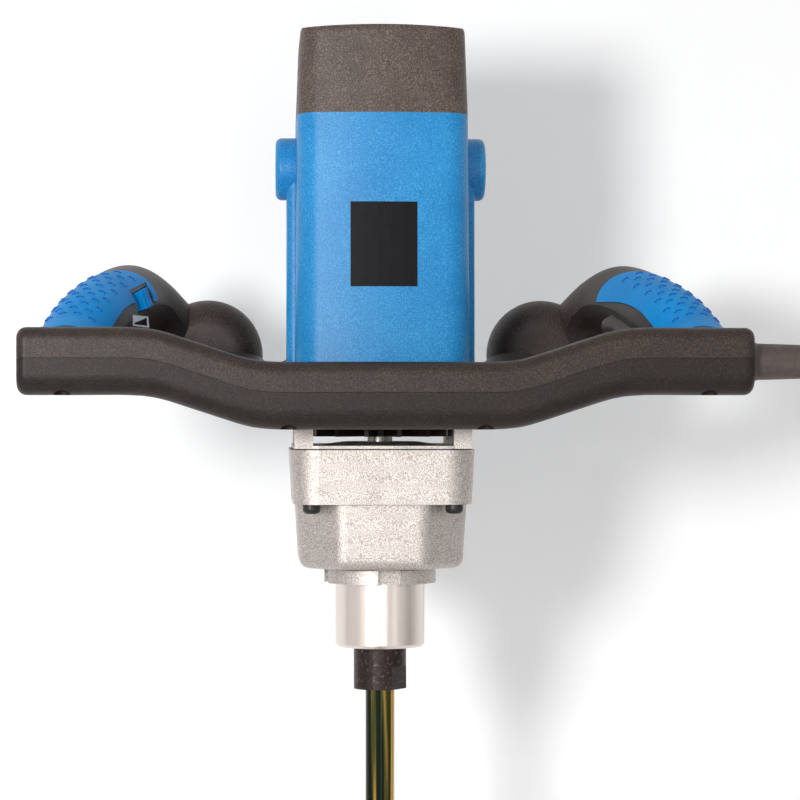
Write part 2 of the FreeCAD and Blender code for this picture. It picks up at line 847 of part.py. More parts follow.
def gear_wire(teeth):
    """One closed outline of a gear, with a tooth centred on +X."""
    module = float(S.gear_module)
    pitch = module * teeth / 2
    base = pitch * math.cos(PRESSURE_ANGLE)
    tip = pitch + module * float(S.gear_addendum)
    root = pitch - module * float(S.gear_dedendum)
    at_pitch = math.pi / (2 * teeth) - float(S.gear_backlash) / (4 * pitch)

    def half_angle(radius):
        pressure = math.acos(min(base / radius, 1))
        involute = math.tan(pressure) - pressure
        return at_pitch + math.tan(PRESSURE_ANGLE) - PRESSURE_ANGLE - involute

    def point(radius, angle):
        return Vector(radius * math.cos(angle), radius * math.sin(angle), 0)

    first = max(base, root)
    radii = [first + (tip - first) * step / FLANK_STEPS for step in range(FLANK_STEPS + 1)]
    edges = []
    for tooth in range(teeth):
        middle = 2 * math.pi * tooth / teeth
        following = 2 * math.pi * (tooth + 1) / teeth
        rising = [point(radius, middle - half_angle(radius)) for radius in radii]
        falling = [point(radius, middle + half_angle(radius)) for radius in reversed(radii)]
        root_in = point(root, middle - half_angle(first))
        root_out = point(root, middle + half_angle(first))
        next_root = point(root, following - half_angle(first))
        if base > root:
            edges.append(Part.makeLine(root_in, rising[0]))
        for flank in (rising, falling):
            curve = Part.BSplineCurve()
            curve.interpolate(flank)
            edges.append(curve.toShape())
            if flank is rising:
                edges.append(Part.makeLine(rising[-1], falling[0]))
        if base > root:
            edges.append(Part.makeLine(falling[-1], root_out))
        edges.append(Part.makeLine(root_out, next_root))
    return Part.Wire(edges)


def gear_solid(teeth, bottom, top, turn):
    """A spur gear about the vertical axis, whose first tooth points along the turn in degrees."""
    solid = Part.Face(gear_wire(teeth)).extrude(Vector(0, 0, float(top) - float(bottom)))
    solid.rotate(Vector(), Vector(0, 0, 1), turn)
    solid.translate(Vector(0, 0, float(bottom)))
    return solid


def rod(diameter, bottom, top):
    return Part.makeCylinder(float(diameter) / 2, float(top) - float(bottom), Vector(0, 0, float(bottom)))


def shaped(label, shape, x=0, y=0, z=0):
    """A sub-part whose shape is worked out here, set at its place."""
    thing = doc.addObject("Part::Feature", label)
    shape.translate(Vector(float(x), float(y), float(z)))
    thing.Shape = shape
    return node(label, thing)


WHEELS = int(S.wheel_teeth)
PINIONS = int(S.pinion_teeth)
TOWARDS_LAYSHAFT = 90
TOWARDS_SPINDLE = 270


def make_spindle():
    collar = S.collar_diameter / 2
    journal = S.neck_bearing_bore / 2 - S.running_fit
    top_journal = S.spindle_top_bearing_bore / 2 - S.running_fit
    seat = S.output_gear_seat / 2
    stud = S.stud_diameter / 2
    socket_top = SPINDLE_FOOT + S.stud_length
    blank = turned("spindle_blank", [
        (0, socket_top), (stud, socket_top), (stud, SPINDLE_FOOT), (collar, SPINDLE_FOOT), (collar, COLLAR_TOP),
        (journal, COLLAR_TOP), (journal, OUTPUT_GEAR_BOTTOM), (seat, OUTPUT_GEAR_BOTTOM), (seat, OUTPUT_GEAR_TOP),
        (top_journal, OUTPUT_GEAR_TOP), (top_journal, PLATE_TOP), (0, PLATE_TOP),
    ])
    across = (-collar, collar)
    tall = (SPINDLE_FOOT - S.overrun, SPINDLE_FOOT + S.flats_length)
    flats = [
        spun_box(f"spindle_flat_{turn}", (S.flats_across / 2, collar + S.overrun), across, tall, S.flats_turn + turn)
        for turn in (90, 270)
    ]
    node("spindle", cut("spindle_solid", blank, *flats))
    gear = gear_solid(WHEELS, OUTPUT_GEAR_BOTTOM, OUTPUT_GEAR_TOP, TOWARDS_LAYSHAFT)
    shaped("output_gear", gear.cut(rod(S.output_gear_seat, OUTPUT_GEAR_BOTTOM, OUTPUT_GEAR_TOP)))


def make_layshaft():
    core_size = S.lay_bearing_bore - 2 * S.running_fit
    core = rod(core_size, FLOOR + S.shaft_end_gap, LAY_GEAR_TOP)
    pinion_bottom = OUTPUT_GEAR_BOTTOM - S.pinion_overlap
    pinion = gear_solid(PINIONS, pinion_bottom, OUTPUT_GEAR_TOP, TOWARDS_SPINDLE + 180 / PINIONS)
    shaped("layshaft", core.fuse(pinion).removeSplitter(), 0, GEAR_CENTRES)
    wheel = gear_solid(WHEELS, LAY_GEAR_BOTTOM, LAY_GEAR_TOP, TOWARDS_SPINDLE + 180 / WHEELS)
    hub = rod(S.lay_gear_hub, PLATE_TOP + S.shaft_end_gap, LAY_GEAR_BOTTOM)
    bore = rod(core_size, PLATE_TOP, LAY_GEAR_TOP)
    shaped("layshaft_gear", wheel.fuse(hub).removeSplitter().cut(bore), 0, GEAR_CENTRES)


def make_armature():
    pinion_bottom = LAY_GEAR_BOTTOM - S.pinion_overlap
    pinion = gear_solid(PINIONS, pinion_bottom, LAY_GEAR_TOP + S.pinion_overlap, TOWARDS_LAYSHAFT)
    shaft_size = S.shaft_diameter - 2 * S.running_fit
    journal_bottom = ROOF_BOTTOM
    shaft = rod(shaft_size, LAY_GEAR_TOP + S.pinion_overlap, journal_bottom)
    journal = rod(S.top_bearing_bore - 2 * S.running_fit, journal_bottom, TOP_BEARING_TOP - S.shaft_end_gap)
    shaped("armature_shaft", pinion.fuse([shaft, journal]).removeSplitter())
    bore = shaft_size / 2
    node("armature_core", turned("armature_stack", [
        (bore, STACK_BOTTOM), (S.armature_diameter / 2, STACK_BOTTOM), (S.armature_diameter / 2, STACK_TOP),
        (bore, STACK_TOP),
    ]))
    heads = []
    for name, low in (("lower", STACK_BOTTOM - S.winding_length), ("upper", STACK_TOP)):
        high = low + S.winding_length
        outer = S.winding_diameter / 2
        round_off = S.winding_length / 3
        heads.append(turned(f"winding_head_{name}", [
            (bore, low), (outer - round_off, low, round_off), (outer, low + round_off),
            (outer, high - round_off, round_off), (outer - round_off, high), (bore, high),
        ]))
    node("armature_windings", group("winding_heads", heads))
    half = S.commutator_length / 2
    node("commutator", turned("commutator_drum", [
        (bore, BRUSH_LEVEL - half), (S.commutator_diameter / 2, BRUSH_LEVEL - half),
        (S.commutator_diameter / 2, BRUSH_LEVEL + half), (bore, BRUSH_LEVEL + half),
    ]))


def make_fan():
    plate = cylinder("fan_plate_disc", S.fan_diameter, (0, 0, FAN_TOP - S.fan_plate), S.fan_plate)
    hub = cylinder("fan_hub_disc", S.fan_hub, (0, 0, FAN_BOTTOM), S.fan_height)
    reach = (S.fan_hub / 4, S.fan_diameter / 2)
    thick = (-S.fan_blade / 2, S.fan_blade / 2)
    tall = (FAN_BOTTOM, FAN_TOP - S.fan_plate / 2)
    count = int(S.fan_blades)
    blades = [spun_box(f"fan_blade_{turn}", reach, thick, tall, 360 * turn / count) for turn in range(count)]
    rim = cylinder("fan_envelope", S.fan_diameter, (0, 0, FAN_BOTTOM), S.fan_height)
    shaft = cylinder("fan_bore", S.shaft_diameter - 2 * S.running_fit, (0, 0, FAN_BOTTOM - S.overrun),
                     S.fan_height + 2 * S.overrun)
    whole = common("fan_trimmed", fuse("fan_blank", plate, hub, *blades), rim)
    node("cooling_fan", cut("cooling_fan_solid", whole, shaft))


# Stator: laminated stack with two slots that take the sides of the field coils.
def make_stator():
    blank = cylinder("stack_blank", S.stack_diameter, (0, 0, STACK_BOTTOM), S.stack_length)
    bore = cylinder("stack_bore", S.armature_diameter + 2 * S.air_gap, (0, 0, STACK_BOTTOM - S.overrun),
                    S.stack_length + 2 * S.overrun)
    slot_sweep = 2 * S.coil_reach + S.coil_space
    slots = [
        sector(f"stack_slot_{turn}", S.coil_inner - 2 * S.coil_fit, S.coil_outer + 2 * S.coil_fit,
               turn - slot_sweep / 2, slot_sweep, STACK_BOTTOM - S.overrun, S.stack_length + 2 * S.overrun)
        for turn in (0, 180)
    ]
    node("stator_core", cut("stator_core_solid", blank, bore, *slots))
    coils = []
    bottom = STACK_BOTTOM - S.coil_length
    height = S.stack_length + 2 * S.coil_length
    side_sweep = S.coil_reach - S.coil_space
    end_sweep = 180 - 2 * S.coil_space
    for name, start in (("rear", 0), ("front", 180)):
        first = start + S.coil_space
        second = start + 180 - S.coil_reach
        pieces = [
            sector(f"{name}_coil_side_a", S.coil_inner, S.coil_outer, first, side_sweep, bottom, height),
            sector(f"{name}_coil_side_b", S.coil_inner, S.coil_outer, second, side_sweep, bottom, height),
            sector(f"{name}_coil_foot", S.coil_inner, S.coil_outer, first, end_sweep, bottom, S.coil_length),
            sector(f"{name}_coil_head", S.coil_inner, S.coil_outer, first, end_sweep, STACK_TOP, S.coil_length),
        ]
        coils.append(fuse(f"{name}_field_coil", *pieces))
    node("field_coils", group("field_coil_pair", coils))


# Bearing shield: rim and spigot on the gear case, motor bearing hub, and four posts between the air windows.
def make_bearing_shield():
    rim = prism("shield_rim_plate", case_top_outline(S.shield_rim_inset), SHIELD_BOTTOM, S.shield_rim)
    spigot_bottom = SHIELD_BOTTOM - S.shield_spigot
    spigot = prism("shield_spigot_block", cavity_outline(S.plate_fit), spigot_bottom, S.shield_spigot)
    hub = cylinder("shield_hub", S.shield_hub_diameter, (0, 0, HUB_BOTTOM), SHIELD_TOP - HUB_BOTTOM)
    cone = turned("shield_cone", [
        (0, SHIELD_BOTTOM), (S.shield_cone_diameter / 2, SHIELD_BOTTOM), (S.shield_cone_diameter / 2, SHIELD_TOP),
        (S.shield_hub_diameter / 2, SHIELD_TOP + S.shield_cone_height), (0, SHIELD_TOP + S.shield_cone_height),
    ])
    outer = S.flange_width / 2 + FLANGE_DRAFT - S.post_inset
    inner = outer - S.post_width
    front = S.flange_front + FLANGE_DRAFT - S.post_inset
    span = (SHIELD_BOTTOM, HOUSING_BOTTOM)
    posts = []
    for end, near in (("front", -front), ("rear", front - S.post_depth)):
        deep = (near, near + S.post_depth)
        posts.append(box(f"post_{end}_left", (-outer, -inner), deep, span))
        posts.append(box(f"post_{end}_right", (inner, outer), deep, span))
    seat = cylinder("shield_bearing_seat", S.motor_bearing_outer, (0, 0, MOTOR_BEARING_BOTTOM),
                    SHIELD_TOP + S.shield_cone_height + S.overrun - MOTOR_BEARING_BOTTOM)
    hole = cylinder("shield_hub_opening", S.shield_hub_hole, (0, 0, HUB_BOTTOM - S.overrun),
                    S.shield_hub_lip + 2 * S.overrun)
    holes = []
    for number, (x, y) in enumerate(motor_screw_places()):
        holes.append(cylinder(f"post_hole_{number}", S.motor_screw_diameter + 2 * S.screw_fit,
                              (x, y, SHIELD_BOTTOM), HOUSING_BOTTOM - SHIELD_BOTTOM + S.overrun))
        holes.append(cylinder(f"post_recess_{number}", S.motor_screw_head + 2 * S.screw_fit,
                              (x, y, SHIELD_BOTTOM - S.overrun), S.motor_screw_head_height + S.overrun))
    for number, (x, y) in enumerate(case_screw_places()):
        holes.append(cylinder(f"shield_thread_{number}", S.case_screw_diameter, (x, y, spigot_bottom - S.overrun),
                              SHIELD_TOP + 2 * S.overrun - spigot_bottom))
    blank = fuse("shield_blank", rim, spigot, hub, cone, *posts)
    node("bearing_shield", cut("bearing_shield_solid", blank, seat, hole, *holes))
    screws = []
    for number, (x, y) in enumerate(motor_screw_places()):
        head = cylinder(f"motor_screw_head_{number}", S.motor_screw_head, (x, y, SHIELD_BOTTOM),
                        S.motor_screw_head_height)
        shank = cylinder(f"motor_screw_shank_{number}", S.motor_screw_diameter, (x, y, SHIELD_BOTTOM),
                         HOUSING_BOTTOM + S.motor_screw_bite - SHIELD_BOTTOM)
        screws.append(fuse(f"motor_screw_{number}", head, shank))
    node("motor_screws", group("motor_screw_set", screws))


def make_case_gasket():
    sheet_blank = prism("gasket_blank", case_top_outline(S.shield_rim_inset), CASE_TOP, S.gasket_thickness)
    opening = prism("gasket_opening", cavity_outline(0), CASE_TOP - S.overrun, S.gasket_thickness + 2 * S.overrun)
    holes = [
        cylinder(f"gasket_hole_{number}", S.case_screw_diameter + 2 * S.screw_fit, (x, y, CASE_TOP - S.overrun),
                 S.gasket_thickness + 2 * S.overrun)
        for number, (x, y) in enumerate(case_screw_places())
    ]
    node("case_gasket", cut("case_gasket_solid", sheet_blank, opening, *holes))


HOUSING_INSET = S.housing_wall + HOUSING_DRAFT
HOUSING_INNER = S.housing_width / 2 - HOUSING_INSET
HOUSING_SAG = S.housing_width * S.housing_width / (8 * S.housing_crown)
HOUSING_INNER_DEPTH = S.housing_depth / 2 - HOUSING_SAG - HOUSING_INSET


def housing_outline(grow):
    """The motor housing's foot, grown by a clearance."""
    width = S.housing_width + 2 * grow
    depth = S.housing_depth + 2 * grow
    return crowned_rectangle(width, depth, S.housing_corner + grow, S.housing_crown + grow)


def hollow_outline(inset):
    """The motor housing's straight hollow, drawn in by an inset."""
    half_width = HOUSING_INNER - inset
    half_depth = HOUSING_INNER_DEPTH - inset
    corner = S.housing_corner - S.housing_wall - inset
    return rounded_rectangle(-half_width, half_width, -half_depth, half_depth, corner)


def spine_outline(grow):
    """The two side spines, as one bar across the housing, grown by a clearance."""
    half = S.spine_over / 2 + grow
    width = S.spine_width / 2 + grow
    return rounded_rectangle(-half, half, -width, width, S.spine_round)


def lid_screw_places():
    half_x = S.lid_screw_spread_x / 2
    half_y = S.lid_screw_spread_y / 2
    return [(half_x * side, half_y * end) for side in (-1, 1) for end in (-1, 1)]


def span(side, near, far):
    """The two ends of a stretch on one side of the middle plane, lower end first."""
    return (near, far) if side > 0 else (-far, -near)


# Motor housing: one moulding with side spines, brush bosses, stack ribs and a roof that holds the top bearing.
def make_motor_housing():
    shell = prism("housing_outer", housing_outline(0), HOUSING_BOTTOM, S.housing_height, -S.housing_taper)
    spines = prism("housing_spines", spine_outline(0), HOUSING_BOTTOM, S.brush_height)
    radius = S.brush_boss_diameter / 2
    reach = S.brush_boss_over / 2
    corner = S.brush_boss_round
    bosses = turned("brush_bosses", [
        (0, -reach), (radius - corner, -reach, corner), (radius, -reach + corner),
        (radius, reach - corner, corner), (radius - corner, reach), (0, reach),
    ])
    bosses.Placement = FreeCAD.Placement(Vector(), TURNS["x"])
    place(bosses, 0, 0, BRUSH_LEVEL)
    hollow = prism("housing_hollow", hollow_outline(0), HOUSING_BOTTOM - S.overrun,
                   ROOF_BOTTOM - HOUSING_BOTTOM + S.overrun)
    hollowed = cut("housing_hollowed", fuse("housing_blank", shell, spines, bosses), hollow)
    added = []
    rib = (-S.stack_rib / 2, S.stack_rib / 2)
    stack = (STACK_BOTTOM, STACK_TOP)
    rib_foot = S.stack_diameter / 2 - S.housing_wall
    for side in (-1, 1):
        across = span(side, rib_foot, HOUSING_INNER + S.housing_wall / 2)
        added.append(box(f"stack_rib_x{side}", across, rib, stack))
        along = span(side, rib_foot, HOUSING_INNER_DEPTH + S.housing_wall / 2)
        added.append(box(f"stack_rib_y{side}", rib, along, stack))
    boss_height = S.motor_screw_bite + S.motor_screw_end
    tools = []
    for number, (x, y) in enumerate(motor_screw_places()):
        added.append(cylinder(f"motor_screw_boss_{number}", S.motor_screw_boss, (x, y, HOUSING_BOTTOM), boss_height))
        tools.append(cylinder(f"motor_thread_{number}", S.motor_screw_diameter, (x, y, HOUSING_BOTTOM - S.overrun),
                              S.motor_screw_bite + S.overrun))
    for number, (side, x, y) in enumerate(yoke_screw_places()):
        inner = x - S.housing_wall - 2 * S.yoke_screw_bite
        low, high = span(side, inner, x - S.housing_wall / 2)
        added.append(cylinder(f"yoke_boss_{number}", S.yoke_boss, (low, y, BAR_MIDDLE), high - low, "x"))
        low, high = span(side, x - S.housing_wall - S.yoke_screw_bite, x + S.overrun)
        tools.append(cylinder(f"yoke_thread_{number}", S.yoke_screw_diameter, (low, y, BAR_MIDDLE), high - low, "x"))
    tools.append(cylinder("stack_seat", S.stack_diameter, (0, 0, STACK_BOTTOM), S.stack_length))
    tools.append(cylinder("top_bearing_seat", S.top_bearing_outer, (0, 0, ROOF_BOTTOM - S.overrun),
                          TOP_BEARING_TOP - ROOF_BOTTOM + S.overrun))
    tools.append(cylinder("roof_bore_hole", S.roof_bore, (0, 0, ROOF_BOTTOM), S.housing_roof + S.overrun))
    half = S.roof_hole_spread / 2
    for x in (-half, half):
        for y in (-half, half):
            tools.append(cylinder("roof_air_hole", S.roof_hole, (x, y, ROOF_BOTTOM - S.overrun),
                                  S.housing_roof + 2 * S.overrun))
    for number, (x, y) in enumerate(lid_screw_places()):
        tools.append(cylinder(f"lid_thread_{number}", S.lid_screw_diameter, (x, y, HOUSING_TOP - S.lid_screw_bite),
                              S.lid_screw_bite + S.overrun))
    bore_reach = reach + S.overrun
    tools.append(cylinder("brush_bore_hole", S.brush_bore, (-bore_reach, 0, BRUSH_LEVEL), 2 * bore_reach, "x"))
    node("motor_housing", cut("motor_housing_solid", fuse("housing_with_ribs", hollowed, *added), *tools))


def yoke_screw_places():
    """Side, distance of the housing's flank from the middle plane, and depth of each yoke screw."""
    half = S.yoke_screw_spread / 2
    return [(side, S.housing_width / 2, half * end) for side in (-1, 1) for end in (-1, 1)]


def make_air_baffle():
    blank = prism("baffle_blank", hollow_outline(S.baffle_fit), BAFFLE_BOTTOM, S.baffle_thickness)
    hole = cylinder("baffle_opening", S.baffle_hole, (0, 0, BAFFLE_BOTTOM - S.overrun),
                    S.baffle_thickness + 2 * S.overrun)
    node("air_baffle", cut("air_baffle_solid", blank, hole))


# Brush gear: on each side a holder, a carbon brush, its spring and the screwed cap that closes the boss.
def make_brush_gear():
    slot_width = S.brush_width + 2 * S.brush_fit
    slot_tall = S.brush_tall + 2 * S.brush_fit
    flange_end = HOUSING_INNER + S.holder_flange
    brush_near = S.commutator_diameter / 2 + S.brush_gap
    brush_far = brush_near + S.brush_length
    cap_far = S.cap_over / 2
    cap_near = cap_far - S.cap_depth
    for name, side in SIDES.items():
        half_y = slot_width / 2 + S.holder_wall
        half_z = slot_tall / 2 + S.holder_wall
        tube = box(f"{name}_holder_tube", span(side, S.holder_start, flange_end), (-half_y, half_y),
                   (BRUSH_LEVEL - half_z, BRUSH_LEVEL + half_z))
        low, high = span(side, HOUSING_INNER, flange_end)
        flange = cylinder(f"{name}_holder_flange", S.brush_bore, (low, 0, BRUSH_LEVEL), high - low, "x")
        slot = box(f"{name}_holder_slot", span(side, S.holder_start - S.overrun, flange_end + S.overrun),
                   (-slot_width / 2, slot_width / 2), (BRUSH_LEVEL - slot_tall / 2, BRUSH_LEVEL + slot_tall / 2))
        node(f"brush_holder_{name}", cut(f"{name}_holder", fuse(f"{name}_holder_blank", tube, flange), slot))
        brush = box(f"{name}_brush", span(side, brush_near, brush_far), (-S.brush_width / 2, S.brush_width / 2),
                    (BRUSH_LEVEL - S.brush_tall / 2, BRUSH_LEVEL + S.brush_tall / 2))
        node(f"carbon_brush_{name}", brush)
        low, high = span(side, brush_far, cap_near)
        outside = cylinder(f"{name}_spring_outside", S.spring_diameter, (low, 0, BRUSH_LEVEL), high - low, "x")
        inside = cylinder(f"{name}_spring_inside", S.spring_diameter - 2 * S.spring_wall,
                          (low - S.overrun, 0, BRUSH_LEVEL), high - low + 2 * S.overrun, "x")
        node(f"brush_spring_{name}", cut(f"{name}_spring", outside, inside))
        radius = S.brush_bore / 2
        cap = turned(f"{name}_cap_blank", [
            (0, cap_near), (radius, cap_near), (radius, cap_far - S.cap_round, S.cap_round),
            (radius - S.cap_round, cap_far), (0, cap_far),
        ])
        cap.Placement = FreeCAD.Placement(Vector(), FreeCAD.Rotation(Vector(0, 1, 0), 90 * side))
        place(cap, 0, 0, BRUSH_LEVEL)
        slot = box(f"{name}_cap_slot", span(side, cap_far - S.cap_slot_depth, cap_far + S.overrun),
                   (-radius, radius), (BRUSH_LEVEL - S.cap_slot / 2, BRUSH_LEVEL + S.cap_slot / 2))
        node(f"brush_cap_{name}", cut(f"{name}_cap", cap, slot))


LID_DRAFT = S.lid_height * tangent(S.lid_taper)
LID_TOP = HOUSING_TOP + S.lid_height


# Top cap: a domed cover on the motor housing, with air slots in its flanks and four screw columns.
def make_top_cap():
    width = S.housing_width - 2 * HOUSING_DRAFT
    depth = S.housing_depth - 2 * HOUSING_DRAFT
    corner = S.housing_corner - HOUSING_DRAFT
    outline = crowned_rectangle(width, depth, corner, S.housing_crown - HOUSING_DRAFT)
    blank = prism("lid_blank", outline, HOUSING_TOP, S.lid_height, -S.lid_taper)
    round_edges(blank, S.lid_round, lies_at(LID_TOP))
    crown = doc.addObject("Part::Sphere", "lid_crown")
    bind(crown, "Radius", S.lid_crown_radius)
    place(crown, 0, 0, LID_TOP - S.lid_crown_radius)
    inset = S.lid_wall + LID_DRAFT
    half_width = width / 2 - inset
    half_depth = depth / 2 - HOUSING_SAG - inset
    inner = rounded_rectangle(-half_width, half_width, -half_depth, half_depth, S.housing_corner - inset)
    hollow = prism("lid_hollow", inner, HOUSING_TOP - S.overrun, S.lid_height - S.lid_roof + S.overrun)
    hollowed = cut("lid_hollowed", common("lid_domed", blank, crown), hollow)
    column_top = HOUSING_TOP + S.lid_column_height
    columns = []
    tools = []
    screws = []
    for number, (x, y) in enumerate(lid_screw_places()):
        columns.append(cylinder(f"lid_column_{number}", S.lid_column, (x, y, HOUSING_TOP), S.lid_height - S.lid_roof))
        tools.append(cylinder(f"lid_recess_{number}", S.lid_screw_head + 2 * S.screw_fit, (x, y, column_top),
                              S.lid_height))
        tools.append(cylinder(f"lid_hole_{number}", S.lid_screw_diameter + 2 * S.screw_fit,
                              (x, y, HOUSING_TOP - S.overrun), S.lid_column_height + 2 * S.overrun))
        head = cylinder(f"lid_screw_head_{number}", S.lid_screw_head, (x, y, column_top), S.lid_screw_head_height)
        shank = cylinder(f"lid_screw_shank_{number}", S.lid_screw_diameter, (x, y, HOUSING_TOP - S.lid_screw_bite),
                         S.lid_screw_bite + S.lid_column_height)
        screws.append(fuse(f"lid_screw_{number}", head, shank))
    for number in range(int(S.lid_slots)):
        low = HOUSING_TOP + S.lid_slot_rise + number * S.lid_slot_pitch
        tools.append(box(f"lid_slot_{number}", (-width, width), (-S.lid_slot_length / 2, S.lid_slot_length / 2),
                         (low, low + S.lid_slot_height)))
    node("top_cap", cut("top_cap_solid", fuse("lid_with_columns", hollowed, *columns), *tools))
    node("top_cap_screws", group("top_cap_screw_set", screws))
    half = S.controller_width / 2
    deep = S.controller_depth / 2
    block = rounded_rectangle(-half, half, -deep, deep, S.controller_corner)
    node("speed_controller", prism("controller_block", block, HOUSING_TOP, S.controller_height))


# Handle frame: a front bar, a loop on each side and a yoke round the motor housing, split along one seam.
BAR_Y = -(S.bar_back + S.bar_depth / 2)
BOOT_START = S.bar_length / 2 - S.handle_wall - S.boot_fit - S.boot_lock_length
BOOT_END = S.bar_length / 2 + S.boot_fit + S.boot_flange_length + S.boot_length
BAR_END_STEPS = 6
# each station: shares of the loop's reach, sweep and rise, then of its width and height
LOOP_SHARES = [
    (1.007, 0.0, 0.010, 0.943, 0.811),
    (0.993, 0.147, 0.217, 0.971, 0.892),
    (0.949, 0.331, 0.597, 1.0, 0.946),
    (0.887, 0.603, 0.924, 1.0, 0.973),
    (0.829, 0.824, 1.010, 1.030, 1.054),
    (0.747, 0.934, 0.810, 0.914, 0.892),
    (0.664, 0.985, 0.500, 0.857, 0.790),
    (0.575, 1.0, 0.290, 0.857, 0.790),
    (0.500, 0.963, -0.093, 0.886, 0.838),
    (0.411, 0.890, -0.40, 0.914, 0.757),
    (0.315, 0.816, -0.40, 0.857, 0.703),
    (0.205, 0.728, -0.40, 0.857, 0.703),
]
LOOP_STATIONS = (0, 0.5, 1, 1.5, 2, 2.5, 3, 3.5, 4, 5, 6, 7, 8, 9, 10, 11)
FRONT_VOID = (0.0, 0.6, 1.2, 1.7)
REAR_VOID = (3.35, 4.0, 5.0, 6.0, 7.0, 8.0)
# each row of a pad: its station on the loop and the angles of its two long edges from the outer side
PAD_ROWS = (
    (0.3, -50, 160),
    (0.7, -50, 160),
    (1.06, -50, 160),
    (1.5, -50, 160),
    (2.0, -50, 157),
    (2.5, -50, 160),
    (3.0, -50, 169),
    (3.5, -50, 175),
    (3.8, -50, 175),
)
TRIGGER_STATION = 2.4
WHEEL_STATION = 2.9
ARC_STEPS = 10


def bar_rise(x):
    """Height of the bar's middle line: raised ends, two slopes and a lower middle, with blended bends."""
    low, high = float(BAR_MIDDLE), float(BAR_END)
    first, last = float(S.bar_bend_inner), float(S.bar_bend_outer)
    blend = float(S.bar_bend_blend)
    slope = (high - low) / (last - first)

    def ramp(away):
        if away <= -blend:
            return 0.0
        if away >= blend:
            return away
        return (away + blend) ** 2 / (4 * blend)

    return low + slope * (ramp(abs(x) - first) - ramp(abs(x) - last))


def bar_places(end):
    """Places along half of the bar, from its middle outwards, close together at the bends."""
    blend = float(S.bar_bend_blend)
    places = [0.0, float(S.bar_bend_inner) / 2]
    for bend in (float(S.bar_bend_inner), float(S.bar_bend_outer)):
        places += [bend - blend, bend, bend + blend]
    places.insert(5, (places[4] + places[5]) / 2)
    return places + [(places[-1] + end) / 2, end]


def bar_section(x, inset, part):
    """The bar's section at one place: its upper half, lower half or whole, drawn in by an inset."""
    middle = bar_rise(x)
    seam = middle + float(S.bar_seam_rise)
    gap = float(S.seam_gap) / 2
    front = float(BAR_Y - S.bar_depth / 2) + inset
    back = float(BAR_Y + S.bar_depth / 2) - inset
    top = middle + float(S.bar_height) / 2 - inset
    bottom = middle - float(S.bar_height) / 2 + inset
    top_round = max(float(S.bar_top_round) - inset, float(S.bar_top_round) / 4)
    low_round = max(float(S.bar_bottom_round) - inset, float(S.bar_bottom_round) / 4)
    diagonal = 1 - math.sqrt(0.5)

    def at(y, z):
        return Vector(x, y, z)

    def corner(y, z, size, inward, downward):
        first = at(y, z + downward * size)
        middle_point = at(y + inward * diagonal * size, z + downward * diagonal * size)
        return first, middle_point, at(y + inward * size, z)

    edges = []
    if part in ("upper", "whole"):
        base = seam + gap if part == "upper" else seam
        a, b, c = corner(front, top, top_round, 1, -1)
        d, e, f = corner(back, top, top_round, -1, -1)
        edges += [Part.makeLine(at(front, base), a), Part.Arc(a, b, c).toShape(), Part.makeLine(c, f),
                  Part.Arc(f, e, d).toShape(), Part.makeLine(d, at(back, base))]
        if part == "upper":
            edges.append(Part.makeLine(at(back, base), at(front, base)))
    if part in ("lower", "whole"):
        base = seam - gap if part == "lower" else seam
        a, b, c = corner(back, bottom, low_round, -1, 1)
        d, e, f = corner(front, bottom, low_round, 1, 1)
        edges += [Part.makeLine(at(back, base), a), Part.Arc(a, b, c).toShape(), Part.makeLine(c, f),
                  Part.Arc(f, e, d).toShape(), Part.makeLine(d, at(front, base))]
        if part == "lower":
            edges.append(Part.makeLine(at(front, base), at(back, base)))
    return Part.Wire(edges)


def bar_solid(inset, part):
    """The whole bar, or one half of it, with its ends rounded off."""
    reach = float(S.bar_end_round)
    end = float(S.bar_length) / 2 - inset - reach
    half = bar_places(end)
    places = [-x for x in reversed(half[1:])] + half
    pieces = [Part.makeLoft([bar_section(x, inset, part) for x in places], True, False)]
    for side in (-1, 1):
        wires = []
        for step in range(BAR_END_STEPS + 1):
            turn = math.pi / 2 * step / BAR_END_STEPS
            place_out = end + reach * math.sin(turn)
            wires.append(bar_section(side * place_out, inset + reach * (1 - math.cos(turn)), part))
        pieces.append(Part.makeLoft(wires, True, True))
    return pieces[0].fuse(pieces[1:]).removeSplitter()


def loop_place(position, side):
    """Centre, direction, outward and upward directions and half sizes of a loop at one position."""
    last = len(LOOP_SHARES) - 1
    index = min(max(int(position), 0), last - 1)
    step = position - index
    rows = [LOOP_SHARES[min(max(index + shift, 0), last)] for shift in (-1, 0, 1, 2)]

    def blend(column, slope):
        a, b, c, d = (row[column] for row in rows)
        if slope:
            return (c - a + 2 * step * (2 * a - 5 * b + 4 * c - d) + 3 * step**2 * (3 * b - a - 3 * c + d)) / 2
        return (2 * b + step * (c - a) + step**2 * (2 * a - 5 * b + 4 * c - d)
                + step**3 * (3 * b - a - 3 * c + d)) / 2

    scale = (float(S.loop_reach), float(S.loop_sweep), float(S.loop_rise))
    centre = Vector(side * blend(0, False) * scale[0], float(BAR_Y) + blend(1, False) * scale[1],
                    float(BAR_END) + blend(2, False) * scale[2])
    ahead = Vector(side * blend(0, True) * scale[0], blend(1, True) * scale[1], blend(2, True) * scale[2])
    ahead.normalize()
    outward = Vector(ahead.y, -ahead.x, 0).normalize() * side
    upward = outward.cross(ahead).normalize() * side
    half_width = blend(3, False) * float(S.loop_width) / 2
    half_height = blend(4, False) * float(S.loop_height) / 2
    return centre, ahead, outward, upward, half_width, half_height


